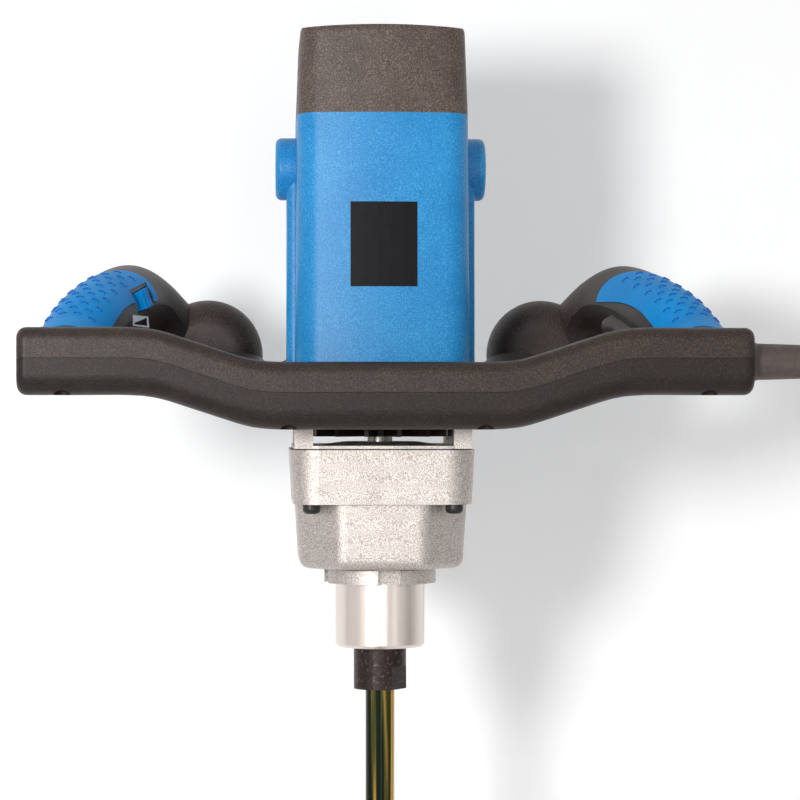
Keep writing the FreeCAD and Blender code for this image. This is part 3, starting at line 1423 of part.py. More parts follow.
def loop_arc(position, side, inset, first, last, lift=0.0):
    """A smooth edge round part of a loop's section, between two angles from the outer side."""
    centre, _, outward, upward, half_width, half_height = loop_place(position, side)
    points = []
    for step in range(ARC_STEPS + 1):
        angle = math.radians(first + (last - first) * step / ARC_STEPS)
        across = outward * ((half_width - inset) * math.cos(angle))
        points.append(centre + across + upward * ((half_height - inset) * math.sin(angle) + lift))
    curve = Part.BSplineCurve()
    curve.interpolate(points)
    return curve.toShape(), points[0], points[-1]


def loop_solid(positions, side, inset, part):
    """A loft along a loop: its upper half, lower half or whole section."""
    gap = float(S.seam_gap) / 2
    wires = []
    for position in positions:
        if part == "whole":
            over, _, _ = loop_arc(position, side, inset, 0, 180)
            under, _, _ = loop_arc(position, side, inset, 180, 360)
            wires.append(Part.Wire([over, under]))
        else:
            first, last, lift = (0, 180, gap) if part == "upper" else (180, 360, -gap)
            edge, start, end = loop_arc(position, side, inset, first, last, lift)
            wires.append(Part.Wire([edge, Part.makeLine(end, start)]))
    return Part.makeLoft(wires, True, False)


def pad_solid(side, proud, depth, widen, back, bar):
    """A pad over the grip: a band of its section between two angles, from the bar to a slanted rear end."""
    wires = []
    for position, first, last in PAD_ROWS:
        outer, outer_start, outer_end = loop_arc(position, side, -proud, first - widen, last + widen)
        inner, inner_end, inner_start = loop_arc(position, side, depth, last + widen, first - widen)
        wires.append(Part.Wire([outer, Part.makeLine(outer_end, inner_end), inner,
                                Part.makeLine(inner_start, outer_start)]))
    slant = math.radians(float(S.pad_end_slant))
    reach = float(S.pad_end_reach)
    along = Vector(side * math.cos(slant), -math.sin(slant), 0) * reach
    behind = Vector(side * math.sin(slant), math.cos(slant), 0)
    end = Vector(side * float(S.pad_end_x), float(S.pad_end_y), 0) + behind * back
    corners = [end - along, end + along, end + along + behind * reach, end - along + behind * reach]
    rear = plain_prism([(corner.x, corner.y, None) for corner in corners], BAR_END - S.pad_end_reach,
                       BAR_END + S.pad_end_reach)
    return Part.makeLoft(wires, True, False).cut([rear, bar])


def knuckle_solid(side, grow):
    """The round knuckle where a loop turns down to the yoke: a thick disc with a full round rim."""
    rim = float(S.knuckle_width) / 2 + grow
    flat = float(S.knuckle_radius - S.knuckle_width / 2)
    foot, shoulder, top = Vector(0, 0, -rim), Vector(flat, 0, -rim), Vector(flat, 0, rim)
    round_rim = Part.Arc(shoulder, Vector(flat + rim, 0, 0), top).toShape()
    head = Vector(0, 0, rim)
    outline = Part.Wire([Part.makeLine(foot, shoulder), round_rim, Part.makeLine(top, head), Part.makeLine(head, foot)])
    solid = Part.Face(outline).revolve(Vector(), Vector(0, 0, 1), 360)
    solid.rotate(Vector(), Vector(1, 0, 0), 90)
    solid.translate(Vector(side * float(S.knuckle_x), float(S.knuckle_y), float(BAR_END + S.knuckle_rise)))
    return solid


def plain_prism(corners, bottom, top):
    """An outline of named sizes drawn upwards between two heights."""
    edges = []
    for index, (x, y, radius) in enumerate(corners):
        following = corners[(index + 1) % len(corners)]
        start = Vector(float(x), float(y), 0)
        end = Vector(float(following[0]), float(following[1]), 0)
        curve = Part.LineSegment(start, end) if radius is None else arc_between(start, end, float(radius))
        edges.append(curve.toShape())
    solid = Part.Face(Part.Wire(edges)).extrude(Vector(0, 0, float(top) - float(bottom)))
    solid.translate(Vector(0, 0, float(bottom)))
    return solid


def largest(shape):
    """The main piece, without the offcuts."""
    return max(shape.Solids, key=lambda solid: solid.Volume)


def upright(diameter, x, y, bottom, top):
    return Part.makeCylinder(float(diameter) / 2, float(top) - float(bottom), Vector(float(x), float(y), float(bottom)))


def grip_frame(position, side, angle):
    """A placement on a grip: x along it, y outwards through its surface at an angle, and the surface's distance."""
    centre, ahead, outward, upward, half_width, half_height = loop_place(position, side)
    turn = math.radians(angle)
    facing = outward * math.cos(turn) + upward * math.sin(turn)
    across = ahead.cross(facing)
    matrix = FreeCAD.Matrix(
        ahead.x, facing.x, across.x, centre.x,
        ahead.y, facing.y, across.y, centre.y,
        ahead.z, facing.z, across.z, centre.z,
        0, 0, 0, 1,
    )
    surface = 1 / math.hypot(math.cos(turn) / half_width, math.sin(turn) / half_height)
    return FreeCAD.Placement(matrix), surface


def framed_box(placement, x, y, z):
    """A plain box between two ends on each axis of a placement."""
    solid = Part.makeBox(float(x[1] - x[0]), float(y[1] - y[0]), float(z[1] - z[0]),
                         Vector(float(x[0]), float(y[0]), float(z[0])))
    solid.Placement = placement
    return solid


TRIGGER_FRAME, TRIGGER_SURFACE = grip_frame(TRIGGER_STATION, 1, 180 + float(S.trigger_lean))
TRIGGER_OUT = TRIGGER_SURFACE + S.trigger_proud
TRIGGER_IN = TRIGGER_SURFACE - S.trigger_root
SWITCH_TOP = TRIGGER_IN - S.trigger_stroke - S.trigger_fit - S.switch_fit
WHEEL_FRAME, WHEEL_SURFACE = grip_frame(WHEEL_STATION, -1, 180 - float(S.wheel_lean))
WHEEL_CENTRE = WHEEL_SURFACE + S.wheel_proud - S.wheel_diameter / 2


def trigger_room():
    half = S.trigger_length / 2 + S.trigger_fit
    wide = S.trigger_width / 2 + S.trigger_fit
    deep = TRIGGER_IN - S.trigger_stroke - S.trigger_fit
    return framed_box(TRIGGER_FRAME, (-half, half), (deep, TRIGGER_OUT + S.trigger_proud), (-wide, wide))


def switch_block(grow):
    half = S.switch_length / 2 + grow
    wide = S.switch_width / 2 + grow
    return framed_box(TRIGGER_FRAME, (-half, half), (SWITCH_TOP - S.switch_depth - grow, SWITCH_TOP + grow),
                      (-wide, wide))


def wheel_room(surround):
    half = S.wheel_diameter / 2 + S.wheel_fit + surround
    wide = S.wheel_thickness / 2 + S.wheel_fit + surround
    return framed_box(WHEEL_FRAME, (-half, half), (WHEEL_CENTRE - half, WHEEL_CENTRE + half), (-wide, wide))


def dial_block(grow):
    half = S.dial_width / 2 + grow
    face = S.wheel_thickness / 2 + S.wheel_fit
    return framed_box(WHEEL_FRAME, (-half, half),
                      (WHEEL_CENTRE - S.dial_back - grow, WHEEL_CENTRE + S.dial_front + grow),
                      (face - grow, face + S.dial_thickness + grow))


def shell_screw_places():
    """Place along the bar and height of its underside for each shell screw."""
    places = []
    for side in (-1, 1):
        places.append((side * S.shell_screw_inner, BAR_MIDDLE - S.bar_height / 2))
        places.append((side * S.shell_screw_outer, BAR_END - S.bar_height / 2))
    return places


BAR_SEAM = S.bar_height / 2 + S.bar_seam_rise


def make_handle():
    both = (-1, 1)
    yoke_seam = BAR_MIDDLE + S.bar_seam_rise
    half = S.yoke_width / 2
    yoke = rounded_rectangle(-half, half, -S.yoke_front, S.yoke_back, S.yoke_corner)
    yoke_foot = HOUSING_BOTTOM + S.yoke_fit
    gap = S.seam_gap / 2
    upper = bar_solid(0, "upper").fuse(
        [loop_solid(LOOP_STATIONS, side, 0, "upper") for side in both]
        + [knuckle_solid(side, 0.0) for side in both]
        + [plain_prism(yoke, yoke_seam + gap, BAR_MIDDLE + S.yoke_top)])
    lower = bar_solid(0, "lower").fuse(
        [loop_solid(LOOP_STATIONS, side, 0, "lower") for side in both]
        + [plain_prism(yoke, yoke_foot, yoke_seam - gap)])
    wall = float(S.handle_wall)
    hollow = bar_solid(wall, "whole").fuse(
        [loop_solid(stretch, side, wall, "whole") for side in both for stretch in (FRONT_VOID, REAR_VOID)])
    bosses = [upright(S.shell_boss, x, -S.shell_screw_set, foot, foot + S.bar_height) for x, foot in shell_screw_places()]
    hollow = hollow.cut(bosses)
    room_top = BAR_END + S.loop_height
    room_foot = yoke_foot - S.yoke_top
    wide = S.flange_width / 2 + FLANGE_DRAFT
    deep = S.flange_front + FLANGE_DRAFT
    post_room = rounded_rectangle(-wide, wide, -deep, deep, S.post_inset)
    tools = [hollow, plain_prism(housing_outline(S.yoke_fit), room_foot, room_top),
             plain_prism(spine_outline(S.yoke_fit), room_foot, room_top),
             plain_prism(post_room, room_foot, yoke_foot),
             trigger_room(), switch_block(float(S.switch_fit)), wheel_room(0.0), dial_block(float(S.switch_fit))]
    fit = float(S.pad_fit)
    bar = bar_solid(0, "whole")
    for side in both:
        bed = pad_solid(side, float(S.pad_thickness), float(S.pad_thickness - S.pad_proud) + fit, 1, fit, bar)
        tools.append(bed if side > 0 else bed.cut(wheel_room(float(S.wheel_surround) - fit)))
    end = S.bar_length / 2
    mouth = Part.makeCylinder(float(S.boot_groove) / 2 + float(S.boot_fit), float(S.handle_wall + 2 * S.overrun),
                              Vector(float(end - S.handle_wall - S.overrun), float(BAR_Y), float(BAR_END)),
                              Vector(1, 0, 0))
    lock = Part.makeCylinder(float(S.boot_lock) / 2 + float(S.boot_fit), float(S.boot_lock_length + 2 * S.boot_fit),
                             Vector(float(BOOT_START - S.boot_fit), float(BAR_Y), float(BAR_END)), Vector(1, 0, 0))
    tools += [mouth, lock]
    for side, x, y in yoke_screw_places():
        start = Vector(0, float(y), float(BAR_MIDDLE))
        tools.append(Part.makeCylinder(float(S.yoke_screw_diameter) / 2 + float(S.screw_fit), float(S.yoke_width),
                                       start, Vector(side, 0, 0)))
        start = Vector(side * float(half - S.yoke_screw_head_height), float(y), float(BAR_MIDDLE))
        tools.append(Part.makeCylinder(float(S.yoke_screw_head) / 2 + float(S.screw_fit), float(S.yoke_width),
                                       start, Vector(side, 0, 0)))
    upper_holes = [upright(S.shell_screw_diameter, x, -S.shell_screw_set, foot + BAR_SEAM - S.overrun,
                           foot + BAR_SEAM + S.shell_screw_bite) for x, foot in shell_screw_places()]
    lower_holes = []
    for x, foot in shell_screw_places():
        lower_holes.append(upright(S.shell_recess, x, -S.shell_screw_set, foot - S.overrun, foot + S.shell_recess_depth))
        lower_holes.append(upright(S.shell_screw_diameter + 2 * S.screw_fit, x, -S.shell_screw_set, foot, foot + BAR_SEAM))
    shaped("handle_upper_shell", largest(upper.cut(tools + upper_holes)))
    knuckles = [knuckle_solid(side, float(S.seam_gap)) for side in both]
    shaped("handle_lower_shell", largest(lower.cut([upper] + knuckles + tools + lower_holes)))


def make_grip_pads():
    bar = bar_solid(-float(S.pad_fit), "whole")
    for name, side in SIDES.items():
        pad = largest(pad_solid(side, float(S.pad_proud), float(S.pad_thickness - S.pad_proud), 0, 0, bar))
        if side < 0:
            pad = largest(pad.cut(wheel_room(float(S.wheel_surround))))
        shaped(f"{name}_grip_pad", pad)


def make_handle_screws():
    screws = []
    for number, (x, foot) in enumerate(shell_screw_places()):
        seat = foot + S.shell_recess_depth
        head = cylinder(f"shell_screw_head_{number}", S.shell_screw_head, (x, -S.shell_screw_set, seat - S.shell_screw_head_height),
                        S.shell_screw_head_height)
        shank = cylinder(f"shell_screw_shank_{number}", S.shell_screw_diameter, (x, -S.shell_screw_set, seat),
                         foot + BAR_SEAM + S.shell_screw_bite - seat)
        screws.append(fuse(f"shell_screw_{number}", head, shank))
    node("handle_screws", group("handle_screw_set", screws))
    screws = []
    outer = S.yoke_width / 2
    for number, (side, x, y) in enumerate(yoke_screw_places()):
        low, high = span(side, outer - S.yoke_screw_head_height, outer)
        head = cylinder(f"yoke_screw_head_{number}", S.yoke_screw_head, (low, y, BAR_MIDDLE), high - low, "x")
        low, high = span(side, x - S.housing_wall - S.yoke_screw_bite, outer - S.yoke_screw_head_height)
        shank = cylinder(f"yoke_screw_shank_{number}", S.yoke_screw_diameter, (low, y, BAR_MIDDLE), high - low, "x")
        screws.append(fuse(f"yoke_screw_{number}", head, shank))
    node("yoke_screws", group("yoke_screw_set", screws))


def make_trigger():
    half = S.trigger_length / 2
    wide = S.trigger_width / 2
    shoulder = half - 2 * S.trigger_round
    outline = [(-half, TRIGGER_IN, None), (half, TRIGGER_IN, None), (half, TRIGGER_OUT - S.trigger_round, None),
               (shoulder, TRIGGER_OUT, None), (half / 3, TRIGGER_OUT - S.trigger_dip, None),
               (-half / 3, TRIGGER_OUT - S.trigger_dip, None), (-shoulder, TRIGGER_OUT, None),
               (-half, TRIGGER_OUT - S.trigger_round, None)]
    lever = prism("trigger_lever", outline, -wide, S.trigger_width)
    surface = float(TRIGGER_IN + S.trigger_root)
    round_edges(lever, S.trigger_round, lambda edge: edge.BoundBox.YMin > surface and edge.BoundBox.ZLength < NEAR)
    lever.Placement = TRIGGER_FRAME
    node("trigger", lever)
    shaped("switch_module", switch_block(0.0))
    inward = TRIGGER_FRAME.Rotation.multVec(Vector(0, -1, 0))
    print("trigger slides along", [round(value, 5) for value in inward])


def make_speed_wheel():
    radius = float(S.wheel_diameter) / 2
    thickness = float(S.wheel_thickness)
    count = int(S.wheel_ribs)
    tools = [Part.makeCylinder(float(S.wheel_pin) / 2, thickness)]
    for number in range(count):
        angle = 2 * math.pi * number / count
        rim = Vector(radius * math.cos(angle), radius * math.sin(angle), 0)
        tools.append(Part.makeCylinder(float(S.wheel_rib) / 2, thickness, rim))
    wheel = Part.makeCylinder(radius, thickness).cut(tools)
    seat = WHEEL_FRAME.multiply(FreeCAD.Placement(Vector(0, float(WHEEL_CENTRE), -thickness / 2), FreeCAD.Rotation()))
    wheel.Placement = seat
    shaped("speed_wheel", wheel)
    pin = Part.makeCylinder(float(S.wheel_pin / 2 - S.running_fit), thickness + float(S.wheel_fit))
    pin.Placement = seat
    shaped("speed_dial", dial_block(0.0).fuse(pin))
    axis = WHEEL_FRAME.Rotation.multVec(Vector(0, 0, 1))
    print("speed wheel turns about", [round(value, 5) for value in axis],
          "at", [round(value, 4) for value in WHEEL_FRAME.multVec(Vector(0, float(WHEEL_CENTRE), 0))])


def make_bar_fittings():
    floor = S.handle_wall - S.bar_height / 2
    middle = BAR_MIDDLE + floor + S.capacitor_fit + S.capacitor_diameter / 2
    node("suppressor_capacitor", cylinder("capacitor_can", S.capacitor_diameter,
                                          (-S.capacitor_length / 2, BAR_Y, middle), S.capacitor_length, "x"))
    far = S.clamp_place + S.clamp_length
    block = box("clamp_block", (S.clamp_place, far), (BAR_Y - S.clamp_width / 2, BAR_Y + S.clamp_width / 2),
                (BAR_END + floor + S.capacitor_fit, BAR_END + S.cord_diameter / 2 + S.clamp_cover))
    bore = cylinder("clamp_bore", S.cord_diameter, (S.clamp_place - S.overrun, BAR_Y, BAR_END),
                    S.clamp_length + 2 * S.overrun, "x")
    node("cord_clamp", cut("clamp_solid", block, bore))
    node("cord_lead", cylinder("lead_cord", S.cord_diameter, (BOOT_START - S.inner_cord_length, BAR_Y, BAR_END),
                               S.inner_cord_length, "x"))


def make_boot():
    lock = S.boot_lock / 2
    groove = S.boot_groove / 2
    face = S.boot_lock_length + S.handle_wall + 2 * S.boot_fit
    sleeve = face + S.boot_flange_length
    boot = turned("boot_sleeve", [
        (0, 0), (lock, 0), (lock, S.boot_lock_length), (groove, S.boot_lock_length), (groove, face),
        (S.boot_flange / 2, face), (S.boot_diameter / 2, sleeve), (S.boot_end_diameter / 2, sleeve + S.boot_length),
        (0, sleeve + S.boot_length),
    ])
    boot.Placement = FreeCAD.Placement(Vector(float(BOOT_START), float(BAR_Y), float(BAR_END)),
                                       FreeCAD.Rotation(Vector(0, 1, 0), 90))
    node("cord_boot", boot)


# Cord: a free length from the boot, a tied coil and a tail to the plug.
# each row: how far right, back and up from the boot's end face
FREE_ROUTE = [
    (0.0, 0.0, 0.0),
    (27.3, 0.0, 0.0),
    (54.3, 0.0, -12.95),
    (72.3, 0.0, -36.45),
    (78.3, -0.8, -66.45),
    (78.8, -2.0, -100.45),
    (78.3, -3.2, -134.75),
    (78.3, 11.3, -159.87),
    (78.3, 21.907, -170.477),
]
# each row: how far right, back and up from the end of the coil
TAIL_ROUTE = [
    (0.0, 0.0, 0.0),
    (0.0, -10.607, -10.607),
    (0.0, -24.607, -34.856),
    (0.0, -24.607, -62.356),
]
COIL_LAYERS = 4
SPIRAL_STEPS = 10
CLIMB_STEPS = 2
ENTRY_ANGLE = 45
LEAST_BEND = 5
RUN_SHARE = 0.45


def rounded_route(points, name):
    """Straight runs joined by tangent arcs; returns the edges and the whole length."""
    edges = []
    start = points[0]
    bends = []
    for before, corner, after in zip(points, points[1:], points[2:]):
        first = corner - before
        last = after - corner
        half_turn = first.getAngle(last) / 2
        trim = RUN_SHARE * min(first.Length, last.Length)
        bends.append(trim / math.tan(half_turn))
        first.normalize()
        last.normalize()
        entry = corner - first * trim
        leave = corner + last * trim
        aside = (last - first).normalize()
        crown = corner + aside * (bends[-1] / math.cos(half_turn) - bends[-1])
        edges.append(Part.makeLine(start, entry))
        edges.append(Part.Arc(entry, crown, leave).toShape())
        start = leave
    edges.append(Part.makeLine(start, points[-1]))
    print(name, "bend radii", [round(radius, 1) for radius in bends])
    if min(bends) < LEAST_BEND * float(S.cord_diameter):
        raise RuntimeError(f"{name} bends too tightly")
    return edges


def tube(edges, name):
    """A round cord along joined edges, checked against its section and length."""
    wire = Part.Wire(edges)
    start = edges[0].valueAt(edges[0].FirstParameter)
    ahead = edges[0].tangentAt(edges[0].FirstParameter)
    ring = Part.Wire(Part.makeCircle(float(S.cord_diameter) / 2, start, ahead))
    pipe = Part.BRepOffsetAPI.MakePipeShell(wire)
    pipe.add(ring)
    pipe.build()
    pipe.makeSolid()
    solid = pipe.shape()
    expected = math.pi * float(S.cord_diameter) ** 2 / 4 * wire.Length
    print(name, "length", round(wire.Length, 1), "volume share", round(solid.Volume / expected, 5))
    return solid


def biarc(first, first_way, last, last_way):
    """Two tangent arcs from one place and direction to another."""
    across = last - first
    both = first_way + last_way
    along = across.dot(both)
    twice = 2 * (1 - first_way.dot(last_way))
    reach = (math.sqrt(along**2 + twice * across.dot(across)) - along) / twice
    joint = (first + last + (first_way - last_way) * reach) / 2

    def bend(start, way, end):
        chord = end - start
        normal = way.cross(chord).cross(way).normalize()
        radius = chord.dot(chord) / (2 * chord.dot(normal))
        centre = start + normal * radius
        middle = (start + end) / 2 - centre
        return Part.Arc(start, centre + middle.normalize() * radius, end).toShape()

    joint_way = (joint - first - first_way * reach).normalize()
    return [bend(first, first_way, joint), bend(joint, joint_way, last)]


def coil_course():
    """Turn, radius and layer of each station round the coil, in and out through its layers."""
    inner, outer = float(S.coil_turn_inner), float(S.coil_turn_outer)
    sweep = float(S.coil_spiral_turns)
    dip = (outer - inner) / sweep / (2 * math.pi)
    course = []
    turn = 0.0
    for layer in range(COIL_LAYERS):
        start, end = (outer, inner) if layer % 2 == 0 else (inner, outer)
        for step in range(SPIRAL_STEPS + 1):
            share = step / SPIRAL_STEPS
            course.append((turn + sweep * share, start + (end - start) * share, float(layer)))
        turn += sweep
        if layer < COIL_LAYERS - 1:
            for step in range(1, CLIMB_STEPS):
                share = step / CLIMB_STEPS
                bow = dip * math.sin(math.pi * share) * (1 if end > start else -1)
                climbed = share - math.sin(2 * math.pi * share) / (2 * math.pi)
                course.append((turn + share / 2, end + bow, layer + climbed))
            turn += 0.5
    return course


def coil_edges(start, ahead):
    """The coil's edges from its straight entry to its straight end, with its centre and its last direction."""
    straight = float(S.cord_diameter)
    entry = start + ahead * straight
    angle = math.radians(ENTRY_ANGLE)
    centre = entry - Vector(0, math.cos(angle), math.sin(angle)) * float(S.coil_turn_outer)
    course = coil_course()

    def station(row):
        turn, radius, layer = row
        at = angle - 2 * math.pi * turn
        return centre + Vector(-layer * float(S.coil_layer), radius * math.cos(at), radius * math.sin(at))

    points = [station(row) for row in course]
    ways = []
    for index, (turn, radius, layer) in enumerate(course):
        at = angle - 2 * math.pi * turn
        way = Vector(0, math.sin(at), -math.cos(at))
        if 0 < index < len(course) - 1:
            before, after = course[index - 1], course[index + 1]
            share = 2 * math.pi * (after[0] - before[0])
            outward = Vector(0, math.cos(at), math.sin(at)) * ((after[1] - before[1]) / share / radius)
            climb = Vector(-(after[2] - before[2]) * float(S.coil_layer) / share / radius, 0, 0)
            if layer == int(layer):
                climb = Vector()
            way = (way + outward + climb).normalize()
        ways.append(way)
    edges = [Part.makeLine(start, entry)]
    for index in range(len(points) - 1):
        edges += biarc(points[index], ways[index], points[index + 1], ways[index + 1])
    end = points[-1] + ways[-1] * straight
    edges.append(Part.makeLine(points[-1], end))
    return edges, centre, end, ways[-1]


def least_gap(edges):
    """Smallest distance between the cord's own turns, less its diameter, on points along its middle line."""
    spacing = float(S.cord_diameter) / 3
    points = []
    for edge in edges:
        points += edge.discretize(max(2, int(edge.Length / spacing) + 1))[:-1]
    skip = int(math.pi * float(S.coil_turn_inner) / spacing)
    least = min(
        (points[first] - points[second]).Length
        for first in range(len(points)) for second in range(first + skip, len(points))
    )
    return least - float(S.cord_diameter), points


def make_cord():
    leave = Vector(float(BOOT_END), float(BAR_Y), float(BAR_END))
    route = [leave + Vector(*row) for row in FREE_ROUTE]
    shaped("power_cord", tube(rounded_route(route, "power cord"), "power cord"))
    ahead = (route[-1] - route[-2]).normalize()
    edges, centre, end, way = coil_edges(route[-1], ahead)
    gap, points = least_gap(edges)
    print("coil gap", round(gap, 3))
    shaped("cord_coil", tube(edges, "coil"))
    tail = [end + Vector(*row) for row in TAIL_ROUTE]
    shaped("cord_tail", tube(rounded_route(tail, "tail"), "tail"))
    make_tie(centre, points)
    make_plug(tail[-1])


def make_tie(centre, points):
    """A strap round the whole bundle at the top of the coil."""
    half = S.tie_width / 2
    bundle = [point for point in points if abs(point.y - centre.y) < float(half + S.cord_diameter / 2)]
    bundle = [point for point in bundle if point.z > centre.z]
    room = S.cord_diameter / 2 + S.tie_fit
    sides = (min(point.x for point in bundle) - room, max(point.x for point in bundle) + room)
    heights = (min(point.z for point in bundle) - room, max(point.z for point in bundle) + room)
    strap = S.tie_thickness
    outer = box("tie_outer", (sides[0] - strap, sides[1] + strap), (centre.y - half, centre.y + half),
                (heights[0] - strap, heights[1] + strap))
    inner = box("tie_inner", sides, (centre.y - half - S.overrun, centre.y + half + S.overrun), heights)
    node("coil_tie", cut("tie_strap", outer, inner))


def make_plug(top):
    neck_foot = top.z - S.plug_neck_length
    neck = cylinder("plug_neck", S.plug_neck, (top.x, top.y, neck_foot), S.plug_neck_length)
    foot = neck_foot - S.plug_length
    across = S.plug_width / 2
    deep = S.plug_depth / 2
    block = prism("plug_block", rounded_rectangle(top.x - deep, top.x + deep, top.y - across, top.y + across,
                                                  S.plug_round), foot, S.plug_length)
    round_edges(block, S.plug_round / 2, lies_at(neck_foot))
    node("plug_body", fuse("plug_solid", block, neck))
    pins = [
        cylinder(f"plug_pin_{side}", S.plug_pin_diameter,
                 (top.x, top.y + side * S.plug_pin_spread / 2, foot - S.plug_pin_length), S.plug_pin_length)
        for side in (-1, 1)
    ]
    node("plug_pins", group("plug_pin_pair", pins))


# each row: share of the basket's height from its top, inner edge as a share of its radius, share of the width
BLADE_SHARES = [
    (0.0, 0.065, 0.36),
    (0.12, 0.065, 0.45),
    (0.25, 0.16, 0.64),
    (0.45, 0.355, 0.82),
    (0.7, 0.55, 0.95),
    (0.9, 0.637, 1.0),
    (1.0, 0.645, 1.0),
]
ROD_FOOT = SPINDLE_FOOT - S.rod_length
HOOP_FOOT = SPINDLE_FOOT - S.basket_drop
HOOP_TOP = HOOP_FOOT + S.hoop_height


def make_paddle():
    shank = S.rod_diameter / 2
    stud = S.stud_diameter / 2
    node("paddle_rod", turned("rod_bar", [
        (0, ROD_FOOT), (shank, ROD_FOOT), (shank, SPINDLE_FOOT), (stud, SPINDLE_FOOT),
        (stud, SPINDLE_FOOT + S.stud_length), (0, SPINDLE_FOOT + S.stud_length),
    ]))
    outer = S.basket_diameter / 2
    inner = outer - S.hoop_wall
    node("paddle_hoop", turned("hoop_ring", [(inner, HOOP_FOOT), (outer, HOOP_FOOT), (outer, HOOP_TOP),
                                             (inner, HOOP_TOP)]))
    height = float(S.basket_height)
    thick = float(S.blade_thickness) / 2
    blades = []
    for number in range(int(S.blades)):
        wires = []
        for down, edge_share, width_share in BLADE_SHARES:
            angle = math.radians(float(S.blade_twist)) * down + 2 * math.pi * number / int(S.blades)
            radial = Vector(math.cos(angle), math.sin(angle), 0)
            aside = Vector(-math.sin(angle), math.cos(angle), 0)
            near = edge_share * float(outer)
            far = near + width_share * float(S.blade_width)
            level = Vector(0, 0, float(HOOP_TOP) + height * (1 - down))
            corners = [level + radial * near - aside * thick, level + radial * far - aside * thick,
                       level + radial * far + aside * thick, level + radial * near + aside * thick]
            wires.append(Part.makePolygon(corners + corners[:1]))
        blades.append(Part.makeLoft(wires, True, False))
    rod_room = rod(S.rod_diameter, ROD_FOOT, SPINDLE_FOOT)
    shaped("paddle_blades", Part.makeCompound([blade.cut(rod_room) for blade in blades]))


def write_parts():
    """Write every sub-part, once all of them are sound."""
    doc.recompute()
    for thing in doc.Objects:
        if "Invalid" in thing.State or "Error" in thing.State:
            raise RuntimeError(f"{thing.Label} did not compute: {thing.State}")
    for label, thing in nodes.items():
        if not thing.Shape.Solids or not thing.Shape.isValid():
            raise RuntimeError(f"{label} has no sound shape")
    os.makedirs("parts", exist_ok=True)
    for label, thing in nodes.items():
        thing.Shape.exportStep(f"parts/{label}.step")
    print(len(nodes), "sub-parts written")


make_gear_case()
make_case_screws()
make_bearing_plate()
make_bearings()
make_neck_seal()
make_spindle()
make_layshaft()
make_armature()
make_fan()
make_stator()
make_bearing_shield()
make_case_gasket()
make_motor_housing()
make_air_baffle()
make_brush_gear()
make_top_cap()
make_handle()
make_grip_pads()
make_handle_screws()
make_trigger()
make_speed_wheel()
make_bar_fittings()
make_boot()
make_cord()
make_paddle()
write_parts()
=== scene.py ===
"""Mixing drill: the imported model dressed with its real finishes, in metres, front bar towards -Y."""
import math

import bmesh
import bpy
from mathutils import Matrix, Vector
from mathutils.bvhtree import BVHTree


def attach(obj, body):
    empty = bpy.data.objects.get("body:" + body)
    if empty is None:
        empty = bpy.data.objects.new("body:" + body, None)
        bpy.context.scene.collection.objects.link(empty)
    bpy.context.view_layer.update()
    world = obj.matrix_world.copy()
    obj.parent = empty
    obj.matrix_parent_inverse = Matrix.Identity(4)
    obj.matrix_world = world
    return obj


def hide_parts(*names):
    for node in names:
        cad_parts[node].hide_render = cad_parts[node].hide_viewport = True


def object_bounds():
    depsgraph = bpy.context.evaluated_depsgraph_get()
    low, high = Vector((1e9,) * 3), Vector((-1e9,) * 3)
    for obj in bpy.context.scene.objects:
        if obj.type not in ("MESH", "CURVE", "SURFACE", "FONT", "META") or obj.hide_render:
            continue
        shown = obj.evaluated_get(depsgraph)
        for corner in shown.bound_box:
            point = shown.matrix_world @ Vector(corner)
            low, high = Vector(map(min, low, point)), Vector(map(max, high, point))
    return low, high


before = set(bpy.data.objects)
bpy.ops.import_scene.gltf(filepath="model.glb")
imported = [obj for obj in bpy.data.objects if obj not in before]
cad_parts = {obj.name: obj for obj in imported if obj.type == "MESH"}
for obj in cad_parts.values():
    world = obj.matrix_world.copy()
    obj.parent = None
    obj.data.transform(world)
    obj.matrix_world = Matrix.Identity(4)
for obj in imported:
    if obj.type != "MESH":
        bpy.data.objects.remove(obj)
cad_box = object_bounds()
MM = 0.001


# Gear case, bearing shield and bearing plate: gravity-cast aluminium, shot-blasted to a sparkling grain.
# The neck under the case is turned bright on a lathe, with fine rings left by the tool.
def linear(code):
    """An sRGB hex colour in linear light, with full alpha."""
    channels = [int(code[start:start + 2], 16) / 255 for start in (1, 3, 5)]
    return [c / 12.92 if c <= 0.04045 else ((c + 0.055) / 1.055) ** 2.4 for c in channels] + [1.0]


def feed(tree, node, links):
    """Link outputs of other nodes to a node's inputs."""
    for key, (source, output) in links.items():
        tree.links.new(source.outputs[output], node.inputs[key])


def add(tree, kind, settings=None, links=None):
    """A node of a tree, with its attributes, socket values or colour stops set and its inputs linked."""
    made = tree.nodes.new(kind)
    for key, value in (settings or {}).items():
        if key == "stops":
            while len(made.color_ramp.elements) < len(value):
                made.color_ramp.elements.new(1.0)
            for element, (position, code) in zip(made.color_ramp.elements, value):
                element.position = position
                element.color = linear(code)
        elif isinstance(key, str) and hasattr(made, key):
            setattr(made, key, value)
        else:
            made.inputs[key].default_value = value
    feed(tree, made, links or {})
    return made


def finish(name, settings):
    """A new material: its tree, its principled shader and the piece's own coordinates."""
    material = bpy.data.materials.new(name)
    material.use_nodes = True
    tree = material.node_tree
    shader = tree.nodes["Principled BSDF"]
    for key, value in settings.items():
        shader.inputs[key].default_value = value
    place = add(tree, "ShaderNodeTexCoord")
    return material, tree, shader, place


def dress(material, *names):
    """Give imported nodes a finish."""
    for name in names:
        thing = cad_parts[name]
        thing.data.materials.clear()
        thing.data.materials.append(material)


